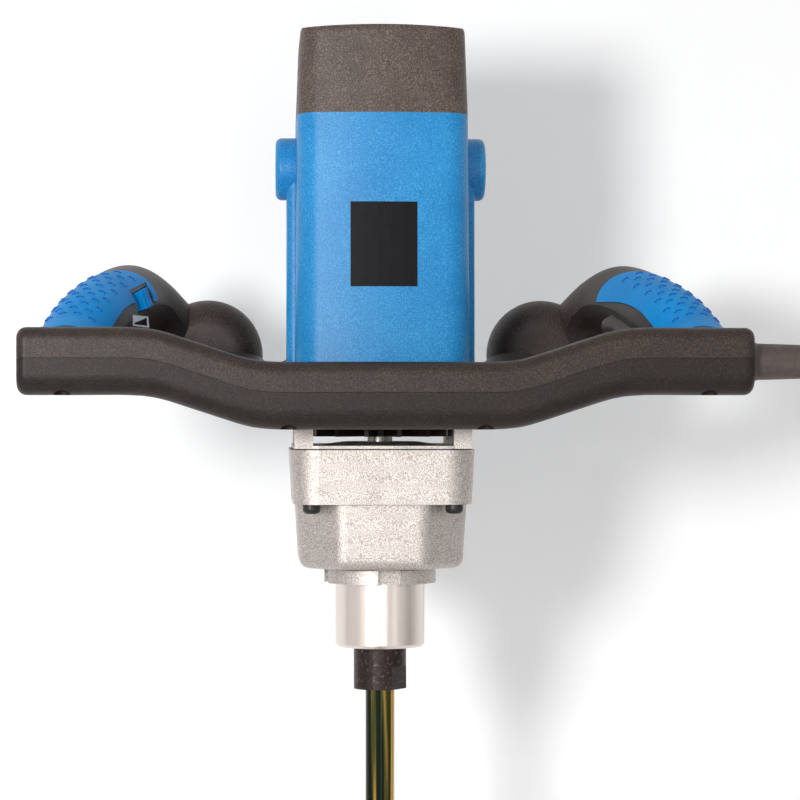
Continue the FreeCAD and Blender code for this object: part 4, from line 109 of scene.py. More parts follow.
# a blasted face sparkles, because each facet throws the light its own way
# its grain is drawn coarser than the real one, so that it shows
BLAST_GRAIN = 0.5 * MM
BLAST_DEPTH = 0.25 * MM
BLAST_RELIEF = 0.45
BLAST_CLOUD = 14 * MM
BLAST_DULLNESS = (0.42, 0.6)
# below the shoulder the case is turned: brighter, with long gleams that the tool's rings soften a little
SHOULDER = 14.75 * MM
TOOL_MARK = 0.45 * MM
TOOL_WANDER = 0.6
TURNED_RELIEF = 0.12
TURNED_DULLNESS = 0.26
# a wave texture of scale 1 repeats about every 0.31
WAVE = 0.31
cast, tree, shader, place = finish("blasted cast aluminium", {"Metallic": 1.0})
facets = add(tree, "ShaderNodeTexNoise", {"Scale": 1 / BLAST_GRAIN, "Detail": 2.0},
             {"Vector": (place, "Object")})
clouds = add(tree, "ShaderNodeTexNoise", {"Scale": 1 / BLAST_CLOUD, "Detail": 2.0},
             {"Vector": (place, "Object")})
rings = add(tree, "ShaderNodeTexWave",
            {"bands_direction": "Z", "Scale": WAVE / TOOL_MARK, "Distortion": TOOL_WANDER},
            {"Vector": (place, "Object")})
axes = add(tree, "ShaderNodeSeparateXYZ", None, {"Vector": (place, "Object")})
turned = add(tree, "ShaderNodeMath", {"operation": "LESS_THAN", 1: SHOULDER}, {0: (axes, "Z")})
blasted = add(tree, "ShaderNodeValToRGB", {"stops": [(0.36, "#978e89"), (0.62, "#d6cec9")]},
              {"Fac": (facets, "Fac")})
bright = add(tree, "ShaderNodeValToRGB", {"stops": [(0.0, "#d2c6be"), (1.0, "#e4dad3")]},
             {"Fac": (rings, "Fac")})
colour = add(tree, "ShaderNodeMix", {"data_type": "RGBA"},
             {0: (turned, 0), 6: (blasted, "Color"), 7: (bright, "Color")})
dull = add(tree, "ShaderNodeMapRange",
           {"From Min": 0.3, "From Max": 0.7, "To Min": BLAST_DULLNESS[0], "To Max": BLAST_DULLNESS[1]},
           {"Value": (clouds, "Fac")})
sheen = add(tree, "ShaderNodeMix", {"data_type": "FLOAT", 3: TURNED_DULLNESS},
            {0: (turned, 0), 2: (dull, 0)})
height = add(tree, "ShaderNodeMix", {"data_type": "FLOAT"},
             {0: (turned, 0), 2: (facets, "Fac"), 3: (rings, "Fac")})
strength = add(tree, "ShaderNodeMix", {"data_type": "FLOAT", 2: BLAST_RELIEF, 3: TURNED_RELIEF},
               {0: (turned, 0)})
bumps = add(tree, "ShaderNodeBump", {"Distance": BLAST_DEPTH},
            {"Height": (height, 0), "Strength": (strength, 0)})
feed(tree, shader, {"Base Color": (colour, 2), "Roughness": (sheen, 0), "Normal": (bumps, "Normal")})
dress(cast, "gear_case", "bearing_shield", "bearing_plate")


# Spindle, screws, gasket, seal and bearings of the gear case: black-oxide steel, oiled black pan heads,
# nitrile rubber and ground steel. The screws go through the case's flange, and the bearings are pressed
# into their seats.
def give_skin(tree, shader, shade, height, stops, strength, depth):
    """Colours along one pattern, and relief from another or the same; depth in metres."""
    colours = add(tree, "ShaderNodeValToRGB", {"stops": stops}, {"Fac": shade})
    raised = add(tree, "ShaderNodeBump", {"Strength": strength, "Distance": depth}, {"Height": height})
    feed(tree, shader, {"Base Color": (colours, "Color"), "Normal": (raised, "Normal")})


def grained(name, settings, size, detail, stops, strength, depth):
    """A finish with one grain, whose lumps are about one size across, in metres."""
    material, tree, shader, place = finish(name, settings)
    lumps = add(tree, "ShaderNodeTexNoise", {"Scale": 1 / size, "Detail": detail},
                {"Vector": (place, "Object")})
    give_skin(tree, shader, (lumps, "Fac"), (lumps, "Fac"), stops, strength, depth)
    return material


# black oxide keeps a dull grey gleam in spots that a spanner has rubbed
blacked = grained("black oxide steel", {"Metallic": 0.7, "Roughness": 0.42}, size=1.4 * MM, detail=4.0,
                  stops=[(0.35, "#241b19"), (0.6, "#332826"), (0.74, "#6e615d")],
                  strength=0.25, depth=0.1 * MM)
dress(blacked, "spindle")

# oil makes the screws darker and smoother than the spindle
screwed = grained("oiled screw black", {"Metallic": 0.35, "Roughness": 0.38}, size=1.1 * MM, detail=2.0,
                  stops=[(0.3, "#131312"), (0.7, "#262522")], strength=0.2, depth=0.05 * MM)
dress(screwed, "gear_case_screws", "motor_screws", "top_cap_screws", "handle_screws", "yoke_screws")

# nitrile is a dull black with a faint grey bloom
nitrile = grained("nitrile rubber", {"Roughness": 0.62}, size=2.2 * MM, detail=4.0,
                  stops=[(0.3, "#262322"), (0.7, "#34302f")], strength=0.2, depth=0.08 * MM)
dress(nitrile, "case_gasket", "neck_seal", "cord_lead")

# ground steel is bright and even
ground = grained("ground bearing steel", {"Metallic": 1.0, "Roughness": 0.24}, size=0.9 * MM, detail=3.0,
                 stops=[(0.3, "#b4b3b2"), (0.7, "#d0cfcd")], strength=0.08, depth=0.05 * MM)
dress(ground, "neck_bearing", "spindle_top_bearing", "layshaft_lower_bearing", "layshaft_upper_bearing",
      "motor_lower_bearing", "motor_upper_bearing", "brush_spring_left", "brush_spring_right", "plug_pins")


# Gears, shafts and motor parts: hobbed case-hardened steel, stamped laminations, varnished copper wire, drawn
# brass holders, pressed carbon brushes and potted electrics, all of them hidden in the case and the housing.
def banded(name, settings, direction, spacing, wander, stops, strength, depth):
    """A finish with even bands, a spacing in metres apart."""
    material, tree, shader, place = finish(name, settings)
    bands = add(tree, "ShaderNodeTexWave",
                {"bands_direction": direction, "Scale": WAVE / spacing, "Distortion": wander},
                {"Vector": (place, "Object")})
    give_skin(tree, shader, (bands, "Fac"), (bands, "Fac"), stops, strength, depth)
    return material


# hardened steel is a little browner and duller than ground steel
geared = grained("case-hardened gear steel", {"Metallic": 1.0, "Roughness": 0.34}, size=3.0 * MM, detail=3.0,
                 stops=[(0.3, "#8f8b86"), (0.7, "#aaa6a1")], strength=0.1, depth=0.05 * MM)
dress(geared, "output_gear", "layshaft", "layshaft_gear", "armature_shaft")

# laminations show the edges of their sheets as fine lines
stamped = banded("stamped motor laminations", {"Metallic": 0.8, "Roughness": 0.5}, direction="Z",
                 spacing=1.0 * MM, wander=0.0, stops=[(0.0, "#4a4a4d"), (1.0, "#77777a")],
                 strength=0.3, depth=0.1 * MM)
dress(stamped, "armature_core", "stator_core")

# varnish makes the wound wire a glossy brown
wound = banded("varnished copper wire", {"Metallic": 0.9, "Roughness": 0.3}, direction="DIAGONAL",
               spacing=0.8 * MM, wander=0.4, stops=[(0.0, "#7a3a1c"), (1.0, "#c8713a")],
               strength=0.5, depth=0.2 * MM)
dress(wound, "armature_windings", "field_coils", "commutator")

# drawn brass is a clear, slightly clouded yellow
brass = grained("drawn brass", {"Metallic": 1.0, "Roughness": 0.3}, size=1.5 * MM, detail=3.0,
                stops=[(0.3, "#b18f45"), (0.7, "#cfae62")], strength=0.1, depth=0.05 * MM)
dress(brass, "brush_holder_left", "brush_holder_right")

# pressed carbon is a dull grey black with a sandy grain
carbon = grained("pressed carbon", {"Roughness": 0.55}, size=0.6 * MM, detail=2.0,
                 stops=[(0.3, "#1f1f20"), (0.7, "#343436")], strength=0.3, depth=0.08 * MM)
dress(carbon, "carbon_brush_left", "carbon_brush_right")

# potting and switch nylon are a flat middle grey
board = grained("grey potting and switch nylon", {"Roughness": 0.5}, size=2.0 * MM, detail=3.0,
                stops=[(0.3, "#6a6f6c"), (0.7, "#7d827f")], strength=0.15, depth=0.08 * MM)
dress(board, "speed_controller", "switch_module", "speed_dial", "suppressor_capacitor")


# Motor housing: glass-filled nylon moulded in blue, with the fine even spark texture of its mould.
# It gives a soft sheen, a little paler where raised specks and the flow of the nylon catch the light.
def spark_nylon(name, settings, spark, cloud, share, detail, stops, strength, depth):
    """Nylon from a spark-eroded mould: raised specks of one size, over faint clouds of another by a share."""
    material, tree, shader, place = finish(name, settings)
    specks = add(tree, "ShaderNodeTexNoise", {"Scale": 1 / spark, "Detail": detail},
                 {"Vector": (place, "Object")})
    clouds = add(tree, "ShaderNodeTexNoise", {"Scale": 1 / cloud, "Detail": detail},
                 {"Vector": (place, "Object")})
    both = add(tree, "ShaderNodeMix", {"data_type": "FLOAT", 0: share},
               {2: (specks, "Fac"), 3: (clouds, "Fac")})
    give_skin(tree, shader, (both, 0), (specks, "Fac"), stops, strength, depth)
    return material


# the specks are drawn coarser than the real ones, so that they show
blue = spark_nylon("spark-textured blue nylon", {"Roughness": 0.4, "Specular IOR Level": 0.35},
                   spark=0.7 * MM, cloud=40 * MM, share=0.25, detail=2.0,
                   stops=[(0.34, "#0d73ae"), (0.5, "#1882c0"), (0.66, "#3a9cd3")],
                   strength=0.8, depth=0.16 * MM)
dress(blue, "motor_housing")

# Badge on the motor housing: a plain dark printed foil, stuck to the middle of the crowned front.
# It is cut square and follows the housing's curve.
BADGE_SIDE = 15.7 * MM
BADGE_LEVELS = (156.1 * MM, 195.9 * MM)
BADGE_CUTS = 10
FOIL = 0.25 * MM
# the foil's back lies a little inside what it is stuck to
FOIL_THROUGH = 1.2 * FOIL
# the level in Y from which foils are laid, in front of the part
BEFORE = -0.3


def surface_of(*names):
    """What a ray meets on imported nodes."""
    points = []
    corners = []
    for name in names:
        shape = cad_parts[name].data
        corners += [[len(points) + index for index in face.vertices] for face in shape.polygons]
        points += [vertex.co.copy() for vertex in shape.vertices]
    return BVHTree.FromPolygons(points, corners)


def shown(name, material, data):
    """An object of the scene with one finish."""
    data.materials.append(material)
    thing = bpy.data.objects.new(name, data)
    bpy.context.scene.collection.objects.link(thing)
    return thing


def laid_foil(name, material, ground_at, left, right, low, tops, cuts, layer=1):
    """A thin foil on what lies behind a patch of the front, from a level foot to a sloping or level top."""
    foil = bmesh.new()
    grid = []
    for row in range(cuts + 1):
        across = []
        for column in range(cuts + 1):
            top = tops[0] + (tops[1] - tops[0]) * column / cuts
            start = Vector((left + (right - left) * column / cuts, BEFORE, low + (top - low) * row / cuts))
            met = ground_at.ray_cast(start, Vector((0, 1, 0)))[0]
            across.append(foil.verts.new(met - Vector((0, FOIL * layer, 0))))
        grid.append(across)
    for lower, upper in zip(grid, grid[1:]):
        for column in range(cuts):
            foil.faces.new((lower[column], lower[column + 1], upper[column + 1], upper[column]))
    edge = bmesh.ops.extrude_face_region(foil, geom=foil.faces[:])
    back = [part for part in edge["geom"] if isinstance(part, bmesh.types.BMVert)]
    bmesh.ops.translate(foil, verts=back, vec=(0, FOIL_THROUGH, 0))
    bmesh.ops.recalc_face_normals(foil, faces=foil.faces[:])
    data = bpy.data.meshes.new(name)
    foil.to_mesh(data)
    foil.free()
    return shown(name, material, data)


# printed foil is an even near-black with little gloss
printed = grained("dark printed foil", {"Roughness": 0.5, "Specular IOR Level": 0.12}, size=5 * MM,
                  detail=3.0, stops=[(0.3, "#0b0b0e"), (0.7, "#121216")], strength=0.05, depth=0.05 * MM)
badge = laid_foil("front_badge", printed, surface_of("motor_housing"), -BADGE_SIDE, BADGE_SIDE,
                  BADGE_LEVELS[0], (BADGE_LEVELS[1], BADGE_LEVELS[1]), BADGE_CUTS)
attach(badge, "frame")

# Top cap, brush caps, fan, baffle, trigger and both handle shells: black glass-filled nylon with a coarse
# spark texture. Its raised specks catch the light, so that the black reads as a warm dark grey.
NYLON = {"spark": 0.6 * MM, "cloud": 10 * MM, "share": 0.16, "detail": 3.0,
         "strength": 0.75, "depth": 0.18 * MM}
black = spark_nylon("coarse spark-textured black nylon", {"Roughness": 0.42, "Specular IOR Level": 0.28},
                    stops=[(0.34, "#1e1613"), (0.5, "#2b211c"), (0.66, "#493a33")], **NYLON)
dress(black, "cooling_fan", "air_baffle", "handle_upper_shell", "trigger", "cord_clamp")

# the lower shell is painted darker, as painted shade on the downward-facing half, so the seam shows as a
# change of shade
dark = spark_nylon("coarse spark-textured black nylon, painted shade",
                   {"Roughness": 0.44, "Specular IOR Level": 0.24},
                   stops=[(0.34, "#140f0c"), (0.5, "#1d1612"), (0.66, "#332824")], **NYLON)
dress(dark, "handle_lower_shell")

# the top cap and the brush caps are painted a shade paler than the grips, as a painted sheen, and glint a
# little more
matt = spark_nylon("spark-textured black nylon, painted sheen", {"Roughness": 0.46, "Specular IOR Level": 0.35},
                   stops=[(0.34, "#352a27"), (0.5, "#4a3d37"), (0.66, "#7a6961")], **NYLON)
dress(matt, "top_cap", "brush_cap_left", "brush_cap_right")

# Tongue of the lower handle shell: a thin lip moulded inside the bar's rear wall, behind the seam.
# It keeps dust and light out where the two shells meet.
BAR_MIDDLE = -70 * MM
TONGUE_PLACE = -56.6 * MM
TONGUE_REACH = 160.0 * MM
TONGUE_HALF = 2.2 * MM
TONGUE_RISE = 1.0 * MM
TONGUE = 0.5 * MM
TONGUE_STEPS = 80
ABOVE = 0.3
upper_at = surface_of("handle_upper_shell")
lower_at = surface_of("handle_lower_shell")
tongue = bmesh.new()
ladder = []
for step in range(TONGUE_STEPS + 1):
    x = TONGUE_REACH * (2 * step / TONGUE_STEPS - 1)
    under = lower_at.ray_cast(Vector((x, BAR_MIDDLE, 0.0)), Vector((0, 0, 1)))[0]
    over = upper_at.ray_cast(Vector((x, BAR_MIDDLE, ABOVE)), Vector((0, 0, -1)))[0]
    middle = (under.z + over.z) / 2 + TONGUE_RISE
    low, high = middle - TONGUE_HALF, middle + TONGUE_HALF
    near, far = TONGUE_PLACE, TONGUE_PLACE + TONGUE
    section = ((near, low), (far, low), (far, high), (near, high))
    ladder.append([tongue.verts.new((x, y, z)) for y, z in section])
for before, after in zip(ladder, ladder[1:]):
    for corner in range(4):
        beside = (corner + 1) % 4
        tongue.faces.new((before[corner], before[beside], after[beside], after[corner]))
tongue.faces.new(ladder[0])
tongue.faces.new(ladder[-1])
bmesh.ops.recalc_face_normals(tongue, faces=tongue.faces[:])
tongue_data = bpy.data.meshes.new("seam_tongue")
tongue.to_mesh(tongue_data)
tongue.free()
lip = shown("seam_tongue", black, tongue_data)
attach(lip, "frame")

# Grip pads and speed wheel: blue thermoplastic rubber, moulded over the grips and round the wheel.
# The rubber is an even, dull blue with almost no gloss.
PAD_LUMP = 0.8 * MM
PAD_CLOUD = 25 * MM
rubber, tree, shader, place = finish("blue moulded rubber", {"Roughness": 0.5, "Specular IOR Level": 0.12})
lumps = add(tree, "ShaderNodeTexNoise", {"Scale": 1 / PAD_LUMP, "Detail": 2.0}, {"Vector": (place, "Object")})
hue = add(tree, "ShaderNodeTexNoise", {"Scale": 1 / PAD_CLOUD, "Detail": 2.0}, {"Vector": (place, "Object")})
give_skin(tree, shader, (hue, "Fac"), (lumps, "Fac"), stops=[(0.3, "#0083c9"), (0.7, "#0590d7")],
          strength=0.25, depth=0.1 * MM)
dress(rubber, "left_grip_pad", "right_grip_pad", "speed_wheel")

# Speed sign beside the wheel: a small white foil on the left grip with a dark rising wedge, slow to fast.
# The wedge is a second foil, stuck on the first.
SIGN = (-118.6 * MM, -112.2 * MM)
SIGN_LEVELS = (138.2 * MM, 143.3 * MM)
SIGN_EDGE = 0.7 * MM
SIGN_CUTS = 8
# white foil is flat and a little grey
pale = grained("white printed foil", {"Roughness": 0.45}, size=1.2 * MM, detail=3.0,
               stops=[(0.3, "#d9d9d8"), (0.7, "#ececeb")], strength=0.05, depth=0.05 * MM)
grips_at = surface_of("handle_upper_shell", "handle_lower_shell")
sign = laid_foil("speed_sign", pale, grips_at, *SIGN, SIGN_LEVELS[0], (SIGN_LEVELS[1], SIGN_LEVELS[1]),
                 SIGN_CUTS)
wedge_tops = (SIGN_LEVELS[0] + 2 * SIGN_EDGE, SIGN_LEVELS[1] - SIGN_EDGE)
wedge = laid_foil("speed_sign_wedge", printed, grips_at, SIGN[0] + SIGN_EDGE, SIGN[1] - SIGN_EDGE,
                  SIGN_LEVELS[0] + SIGN_EDGE, wedge_tops, SIGN_CUTS, layer=2)
for foil, kind in ((sign, "grey_board"), (wedge, "black_plastic")):
    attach(foil, "frame")

# Grip texture: rows of small crescents moulded with the pads, staggered over the outer and upper part of each
# grip. They are set out from the middle line of the grip, half sunk in the pad.
# the middle line of the right grip, in millimetres
GRIP_LINE = [Vector((144.98, -50.0, 126.74)), Vector((138.55, -24.98, 137.76)), Vector((129.5, 12.0, 147.25))]
STAND_OFF = 40.0
RAY_LENGTH = 35 * MM
ROWS = 11
ROW_TURN = 24.0
FIRST_TURN = -42.0
LAST_TURN = 132.0
CRESCENT = 1.6 * MM
CRESCENT_RIB = 0.5 * MM
CRESCENT_START = math.radians(15)
CRESCENT_SWEEP = math.radians(150)


def crescent_places(side, pad):
    """Points on one pad's surface with the way it faces and the way along the grip."""
    found = []
    mirror = Vector((side, 1, 1))
    first, middle, last = GRIP_LINE
    ahead = (last - first).normalized()
    outward = Vector((ahead.y, -ahead.x, 0)).normalized()
    upward = outward.cross(ahead)
    for row in range(ROWS):
        share = row / (ROWS - 1)
        centre = first.lerp(middle, 2 * share) if share < 0.5 else middle.lerp(last, 2 * share - 1)
        turn = FIRST_TURN + (ROW_TURN / 2 if row % 2 else 0)
        while turn <= LAST_TURN:
            angle = math.radians(turn)
            way = outward * math.cos(angle) + upward * math.sin(angle)
            start = (centre + way * STAND_OFF) * MM
            met, facing, _, _ = pad.ray_cast(start * mirror, -way * mirror, RAY_LENGTH)
            if met:
                found.append((met, facing, ahead * mirror))
            turn += ROW_TURN
    return found


def crescent_group():
    """Geometry nodes: one bent rib on each point, turned to the surface."""
    group = bpy.data.node_groups.new("grip_crescents", "GeometryNodeTree")
    group.interface.new_socket("Points", in_out="INPUT", socket_type="NodeSocketGeometry")
    group.interface.new_socket("Bend Radius", in_out="INPUT", socket_type="NodeSocketFloat")
    group.interface.new_socket("Rib Radius", in_out="INPUT", socket_type="NodeSocketFloat")
    group.interface.new_socket("Rubber", in_out="INPUT", socket_type="NodeSocketMaterial")
    group.interface.new_socket("Crescents", in_out="OUTPUT", socket_type="NodeSocketGeometry")
    given = add(group, "NodeGroupInput")
    facing = add(group, "GeometryNodeInputNamedAttribute", {"data_type": "FLOAT_VECTOR", "Name": "facing"})
    along = add(group, "GeometryNodeInputNamedAttribute", {"data_type": "FLOAT_VECTOR", "Name": "along"})
    stood = add(group, "FunctionNodeAlignRotationToVector", {"axis": "Z"}, {"Vector": (facing, "Attribute")})
    turned_to = add(group, "FunctionNodeAlignRotationToVector", {"axis": "Y", "pivot_axis": "Z"},
                    {"Rotation": (stood, "Rotation"), "Vector": (along, "Attribute")})
    bend = add(group, "GeometryNodeCurveArc",
               {"Resolution": 9, "Start Angle": CRESCENT_START, "Sweep Angle": CRESCENT_SWEEP},
               {"Radius": (given, "Bend Radius")})
    round_rib = add(group, "GeometryNodeCurvePrimitiveCircle", {"Resolution": 8},
                    {"Radius": (given, "Rib Radius")})
    rib = add(group, "GeometryNodeCurveToMesh", {"Fill Caps": True},
              {"Curve": (bend, "Curve"), "Profile Curve": (round_rib, "Curve")})
    set_out = add(group, "GeometryNodeInstanceOnPoints", None,
                  {"Points": (given, "Points"), "Instance": (rib, "Mesh"),
                   "Rotation": (turned_to, "Rotation")})
    real = add(group, "GeometryNodeRealizeInstances", None, {"Geometry": (set_out, "Instances")})
    coated = add(group, "GeometryNodeSetMaterial", None,
                 {"Geometry": (real, "Geometry"), "Material": (given, "Rubber")})
    add(group, "NodeGroupOutput", None, {"Crescents": (coated, "Geometry")})
    return group


# the ribs are painted a deeper blue than the pad, as painted shade where they shade each other
shaded = grained("blue moulded rubber, grip texture, painted shade", {"Roughness": 0.55, "Specular IOR Level": 0.3},
                 size=0.8 * MM, detail=2.0, stops=[(0.3, "#0a59a8"), (0.7, "#0f6cc2")],
                 strength=0.2, depth=0.08 * MM)
crescents = crescent_group()
values = {"Bend Radius": CRESCENT, "Rib Radius": CRESCENT_RIB, "Rubber": shaded}
for grip, side in (("left", -1), ("right", 1)):
    places = crescent_places(side, surface_of(f"{grip}_grip_pad"))
    dots = bpy.data.meshes.new(f"{grip}_crescent_points")
    dots.from_pydata([spot[0] for spot in places], [], [])
    for attribute, index in (("facing", 1), ("along", 2)):
        written = dots.attributes.new(attribute, "FLOAT_VECTOR", "POINT")
        written.data.foreach_set("vector", [value for spot in places for value in spot[index]])
    holder = bpy.data.objects.new(f"{grip}_crescent_points", dots)
    bpy.context.scene.collection.objects.link(holder)
    modifier = holder.modifiers.new("crescents", "NODES")
    modifier.node_group = crescents
    for socket in crescents.interface.items_tree:
        if socket.name in values:
            modifier[socket.identifier] = values[socket.name]
    data = bpy.data.meshes.new_from_object(holder.evaluated_get(bpy.context.evaluated_depsgraph_get()))
    bpy.data.objects.remove(holder)
    data.name = f"{grip}_grip_crescents"
    texture = bpy.data.objects.new(f"{grip}_grip_crescents", data)
    bpy.context.scene.collection.objects.link(texture)
    for face in data.polygons:
        face.use_smooth = True
    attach(texture, "frame")

# Cord set: rubber-sheathed mains cable from a tapered boot, its spare length wound into a coil and tied,
# and a plug. The sheath is extruded, and the boot and the plug are moulded on it.
# soft black rubber looks dull and dusty, with a faint bloom
sheath = grained("rubber cable sheath", {"Roughness": 0.58}, size=3.0 * MM, detail=4.0,
                 stops=[(0.3, "#403532"), (0.7, "#514641")], strength=0.2, depth=0.1 * MM)
dress(sheath, "cord_boot", "coil_tie", "plug_body")

CORD_RADIUS = 4.5 * MM
BOOT_END = Vector((230.8, -70.0, 120.45)) * MM
# steps from the boot's end face, in millimetres
FREE_ROUTE = [
    (0.0, 0.0, 0.0),
    (27.3, 0.0, 0.0),
    (54.3, 0.0, -12.95),
    (72.3, 0.0, -36.45),
    (78.3, -0.8, -66.45),
    (78.8, -2.0, -100.45),
    (78.3, -3.2, -134.75),
    (78.3, 11.3, -159.87),
    (78.3, 21.907, -170.477),
]
# steps from the coil's end, in millimetres
TAIL_ROUTE = [
    (0.0, 0.0, 0.0),
    (0.0, -10.607, -10.607),
    (0.0, -24.607, -34.856),
    (0.0, -24.607, -62.356),
]
COIL_LAYERS = 4
COIL_INNER = 38.0 * MM
COIL_OUTER = 62.0 * MM
COIL_LAYER = 9.7 * MM
COIL_ENTRY = math.radians(45)
SPIRAL_TURNS = 2.4375
# the part of a turn in which the cord crosses to the next layer
CROSSING = 0.5
TURN_POINTS = 24
# a curve of order 3 runs a little inside its points on a circle
OUTSIDE = 2 / (1 + math.cos(2 * math.pi / TURN_POINTS)) - 0.0001


def coil_points(start):
    """Points of the coil's turns, in and out through its layers, from where the free cord meets it."""
    straight = 2 * CORD_RADIUS
    meets = start + Vector((0, math.cos(-COIL_ENTRY), math.sin(-COIL_ENTRY))) * straight
    centre = meets - Vector((0, math.cos(COIL_ENTRY), math.sin(COIL_ENTRY))) * COIL_OUTER
    turns = COIL_LAYERS * SPIRAL_TURNS + (COIL_LAYERS - 1) * CROSSING
    dip = (COIL_OUTER - COIL_INNER) / SPIRAL_TURNS / (2 * math.pi)
    points = []
    steps = round(turns * TURN_POINTS)
    for step in range(steps + 1):
        turn = turns * step / steps
        layer = min(int(turn / (SPIRAL_TURNS + CROSSING)), COIL_LAYERS - 1)
        along = turn - layer * (SPIRAL_TURNS + CROSSING)
        first, last = (COIL_OUTER, COIL_INNER) if layer % 2 == 0 else (COIL_INNER, COIL_OUTER)
        if along <= SPIRAL_TURNS:
            radius = first + (last - first) * along / SPIRAL_TURNS
            level = layer
        else:
            share = (along - SPIRAL_TURNS) / CROSSING
            radius = last + dip * math.sin(math.pi * share) * (1 if last > first else -1)
            level = layer + share - math.sin(2 * math.pi * share) / (2 * math.pi)
        angle = COIL_ENTRY - 2 * math.pi * turn
        swing = Vector((0, math.cos(angle), math.sin(angle))) * radius * OUTSIDE
        points.append(centre + swing - Vector((level * COIL_LAYER, 0, 0)))
    leave = COIL_ENTRY - 2 * math.pi * turns
    ahead = Vector((0, math.sin(leave), -math.cos(leave)))
    return points, points[-1] + ahead * straight


free = [BOOT_END + Vector(step) * MM for step in FREE_ROUTE]
coiled, coil_end = coil_points(free[-1])
cord_points = free + coiled + [coil_end + Vector(step) * MM for step in TAIL_ROUTE]
cord_curve = bpy.data.curves.new("power_cord_line", "CURVE")
cord_curve.dimensions = "3D"
line = cord_curve.splines.new("NURBS")
line.points.add(len(cord_points) - 1)
for point, spot in zip(line.points, cord_points):
    point.co = (*spot, 1.0)
line.order_u = 3
line.use_endpoint_u = True
line.resolution_u = 4
cord_curve.bevel_depth = CORD_RADIUS
cord_curve.bevel_resolution = 5
cord_curve.use_fill_caps = True
cord = shown("mains_cord", sheath, cord_curve)
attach(cord, "frame")
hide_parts("power_cord", "cord_coil", "cord_tail")

# Paddle: round bar, flat blades and a hoop, welded and then zinc plated with a yellow passivation.
# The passivation lies in long streaks of gold, straw and dark green on the bar, and in broad clouds on the
# blades. The bar is painted darker towards -X across its width: painted shade on its left side.
ROD_RADIUS = 7 * MM
ROD_STREAK = (3.2 * MM, 3.2 * MM, 160 * MM)
# how much darker the bar is painted towards -X: painted shade on its left side
ROD_SIDE_SHADE = 0.12
BLADE_CLOUD = (22 * MM, 22 * MM, 40 * MM)


def passivated(name, lengths, shade_share, stops):
    """Zinc with streaks of a size, painted darker towards -X across the bar by a share of the streaks' range,
    as painted shade.
    """
    material, tree, shader, place = finish(name, {"Metallic": 1.0, "Roughness": 0.22})
    stretched = add(tree, "ShaderNodeMapping", {"Scale": [1 / length for length in lengths]},
                    {"Vector": (place, "Object")})
    lustre = add(tree, "ShaderNodeTexNoise", {"Scale": 1.0, "Detail": 2.0}, {"Vector": (stretched, "Vector")})
    sides = add(tree, "ShaderNodeSeparateXYZ", None, {"Vector": (place, "Object")})
    # painted shade: the colour is pushed darker towards -X across the bar
    side_shade = add(tree, "ShaderNodeMath", {"operation": "MULTIPLY_ADD", 1: shade_share / ROD_RADIUS},
                  {0: (sides, "X"), 2: (lustre, "Fac")})
    give_skin(tree, shader, (side_shade, 0), (lustre, "Fac"), stops, strength=0.05, depth=0.1 * MM)
    return material


side_shaded_bar = passivated("yellow passivated zinc, painted side shade", ROD_STREAK, ROD_SIDE_SHADE,
                         [(0.40, "#1c241b"), (0.52, "#4c4e2b"), (0.60, "#b58a3e"), (0.72, "#dccb86")])
dress(side_shaded_bar, "paddle_rod")
clouded = passivated("yellow passivated zinc", BLADE_CLOUD, 0.0,
                     [(0.30, "#6f6a35"), (0.44, "#a08440"), (0.56, "#bd9a4d"), (0.70, "#d4c07e")])
dress(clouded, "paddle_blades", "paddle_hoop")

# Studio: a white wall close behind the drill and a floor below it, in one bent sheet of paper, under a wide
# sky. A round lamp on the left throws a soft shadow to the right, and three narrow strips draw the long
# gleams on turned metal.
WALL = 0.21
WALL_TOP = 2.2
BEND = 0.1
BEND_STEPS = 12
FLOOR = cad_box[0][2] - 4 * MM
PAPER_EDGE = 3.0
PAPER_GLOW = 0.07
profile = [(WALL, WALL_TOP), (WALL, FLOOR + BEND)]
for step in range(1, BEND_STEPS + 1):
    turn = math.pi / 2 * step / BEND_STEPS
    profile.append((WALL - BEND + BEND * math.cos(turn), FLOOR + BEND - BEND * math.sin(turn)))
profile.append((-PAPER_EDGE, FLOOR))
sheet = bmesh.new()
left, right = [[sheet.verts.new((x, y, z)) for y, z in profile] for x in (-PAPER_EDGE, PAPER_EDGE)]
for index in range(len(profile) - 1):
    sheet.faces.new((left[index], left[index + 1], right[index + 1], right[index]))
sheet_data = bpy.data.meshes.new("studio_sweep")
sheet.to_mesh(sheet_data)
sheet.free()
# paper is matt and white; it glows a little for the camera and for reflections only, and keeps the shadow
paper, tree, shader, place = finish("white studio paper", {"Roughness": 0.9, "Base Color": linear("#fdfdfd"),
                                                           "Emission Color": linear("#ffffff")})
watched = add(tree, "ShaderNodeLightPath")
either = add(tree, "ShaderNodeMath", {"operation": "MAXIMUM"},
             {0: (watched, "Is Camera Ray"), 1: (watched, "Is Glossy Ray")})
glow = add(tree, "ShaderNodeMath", {"operation": "MULTIPLY", 1: PAPER_GLOW}, {0: (either, 0)})
feed(tree, shader, {"Emission Strength": (glow, 0)})
# the paper hangs as one face: from behind it is out of the way
hung = add(tree, "ShaderNodeNewGeometry")
gone = add(tree, "ShaderNodeBsdfTransparent")
faced = add(tree, "ShaderNodeMixShader", None,
            {0: (hung, "Backfacing"), 1: (shader, "BSDF"), 2: (gone, "BSDF")})
feed(tree, tree.nodes["Material Output"], {"Surface": (faced, 0)})
sweep = shown("studio_sweep", paper, sheet_data)

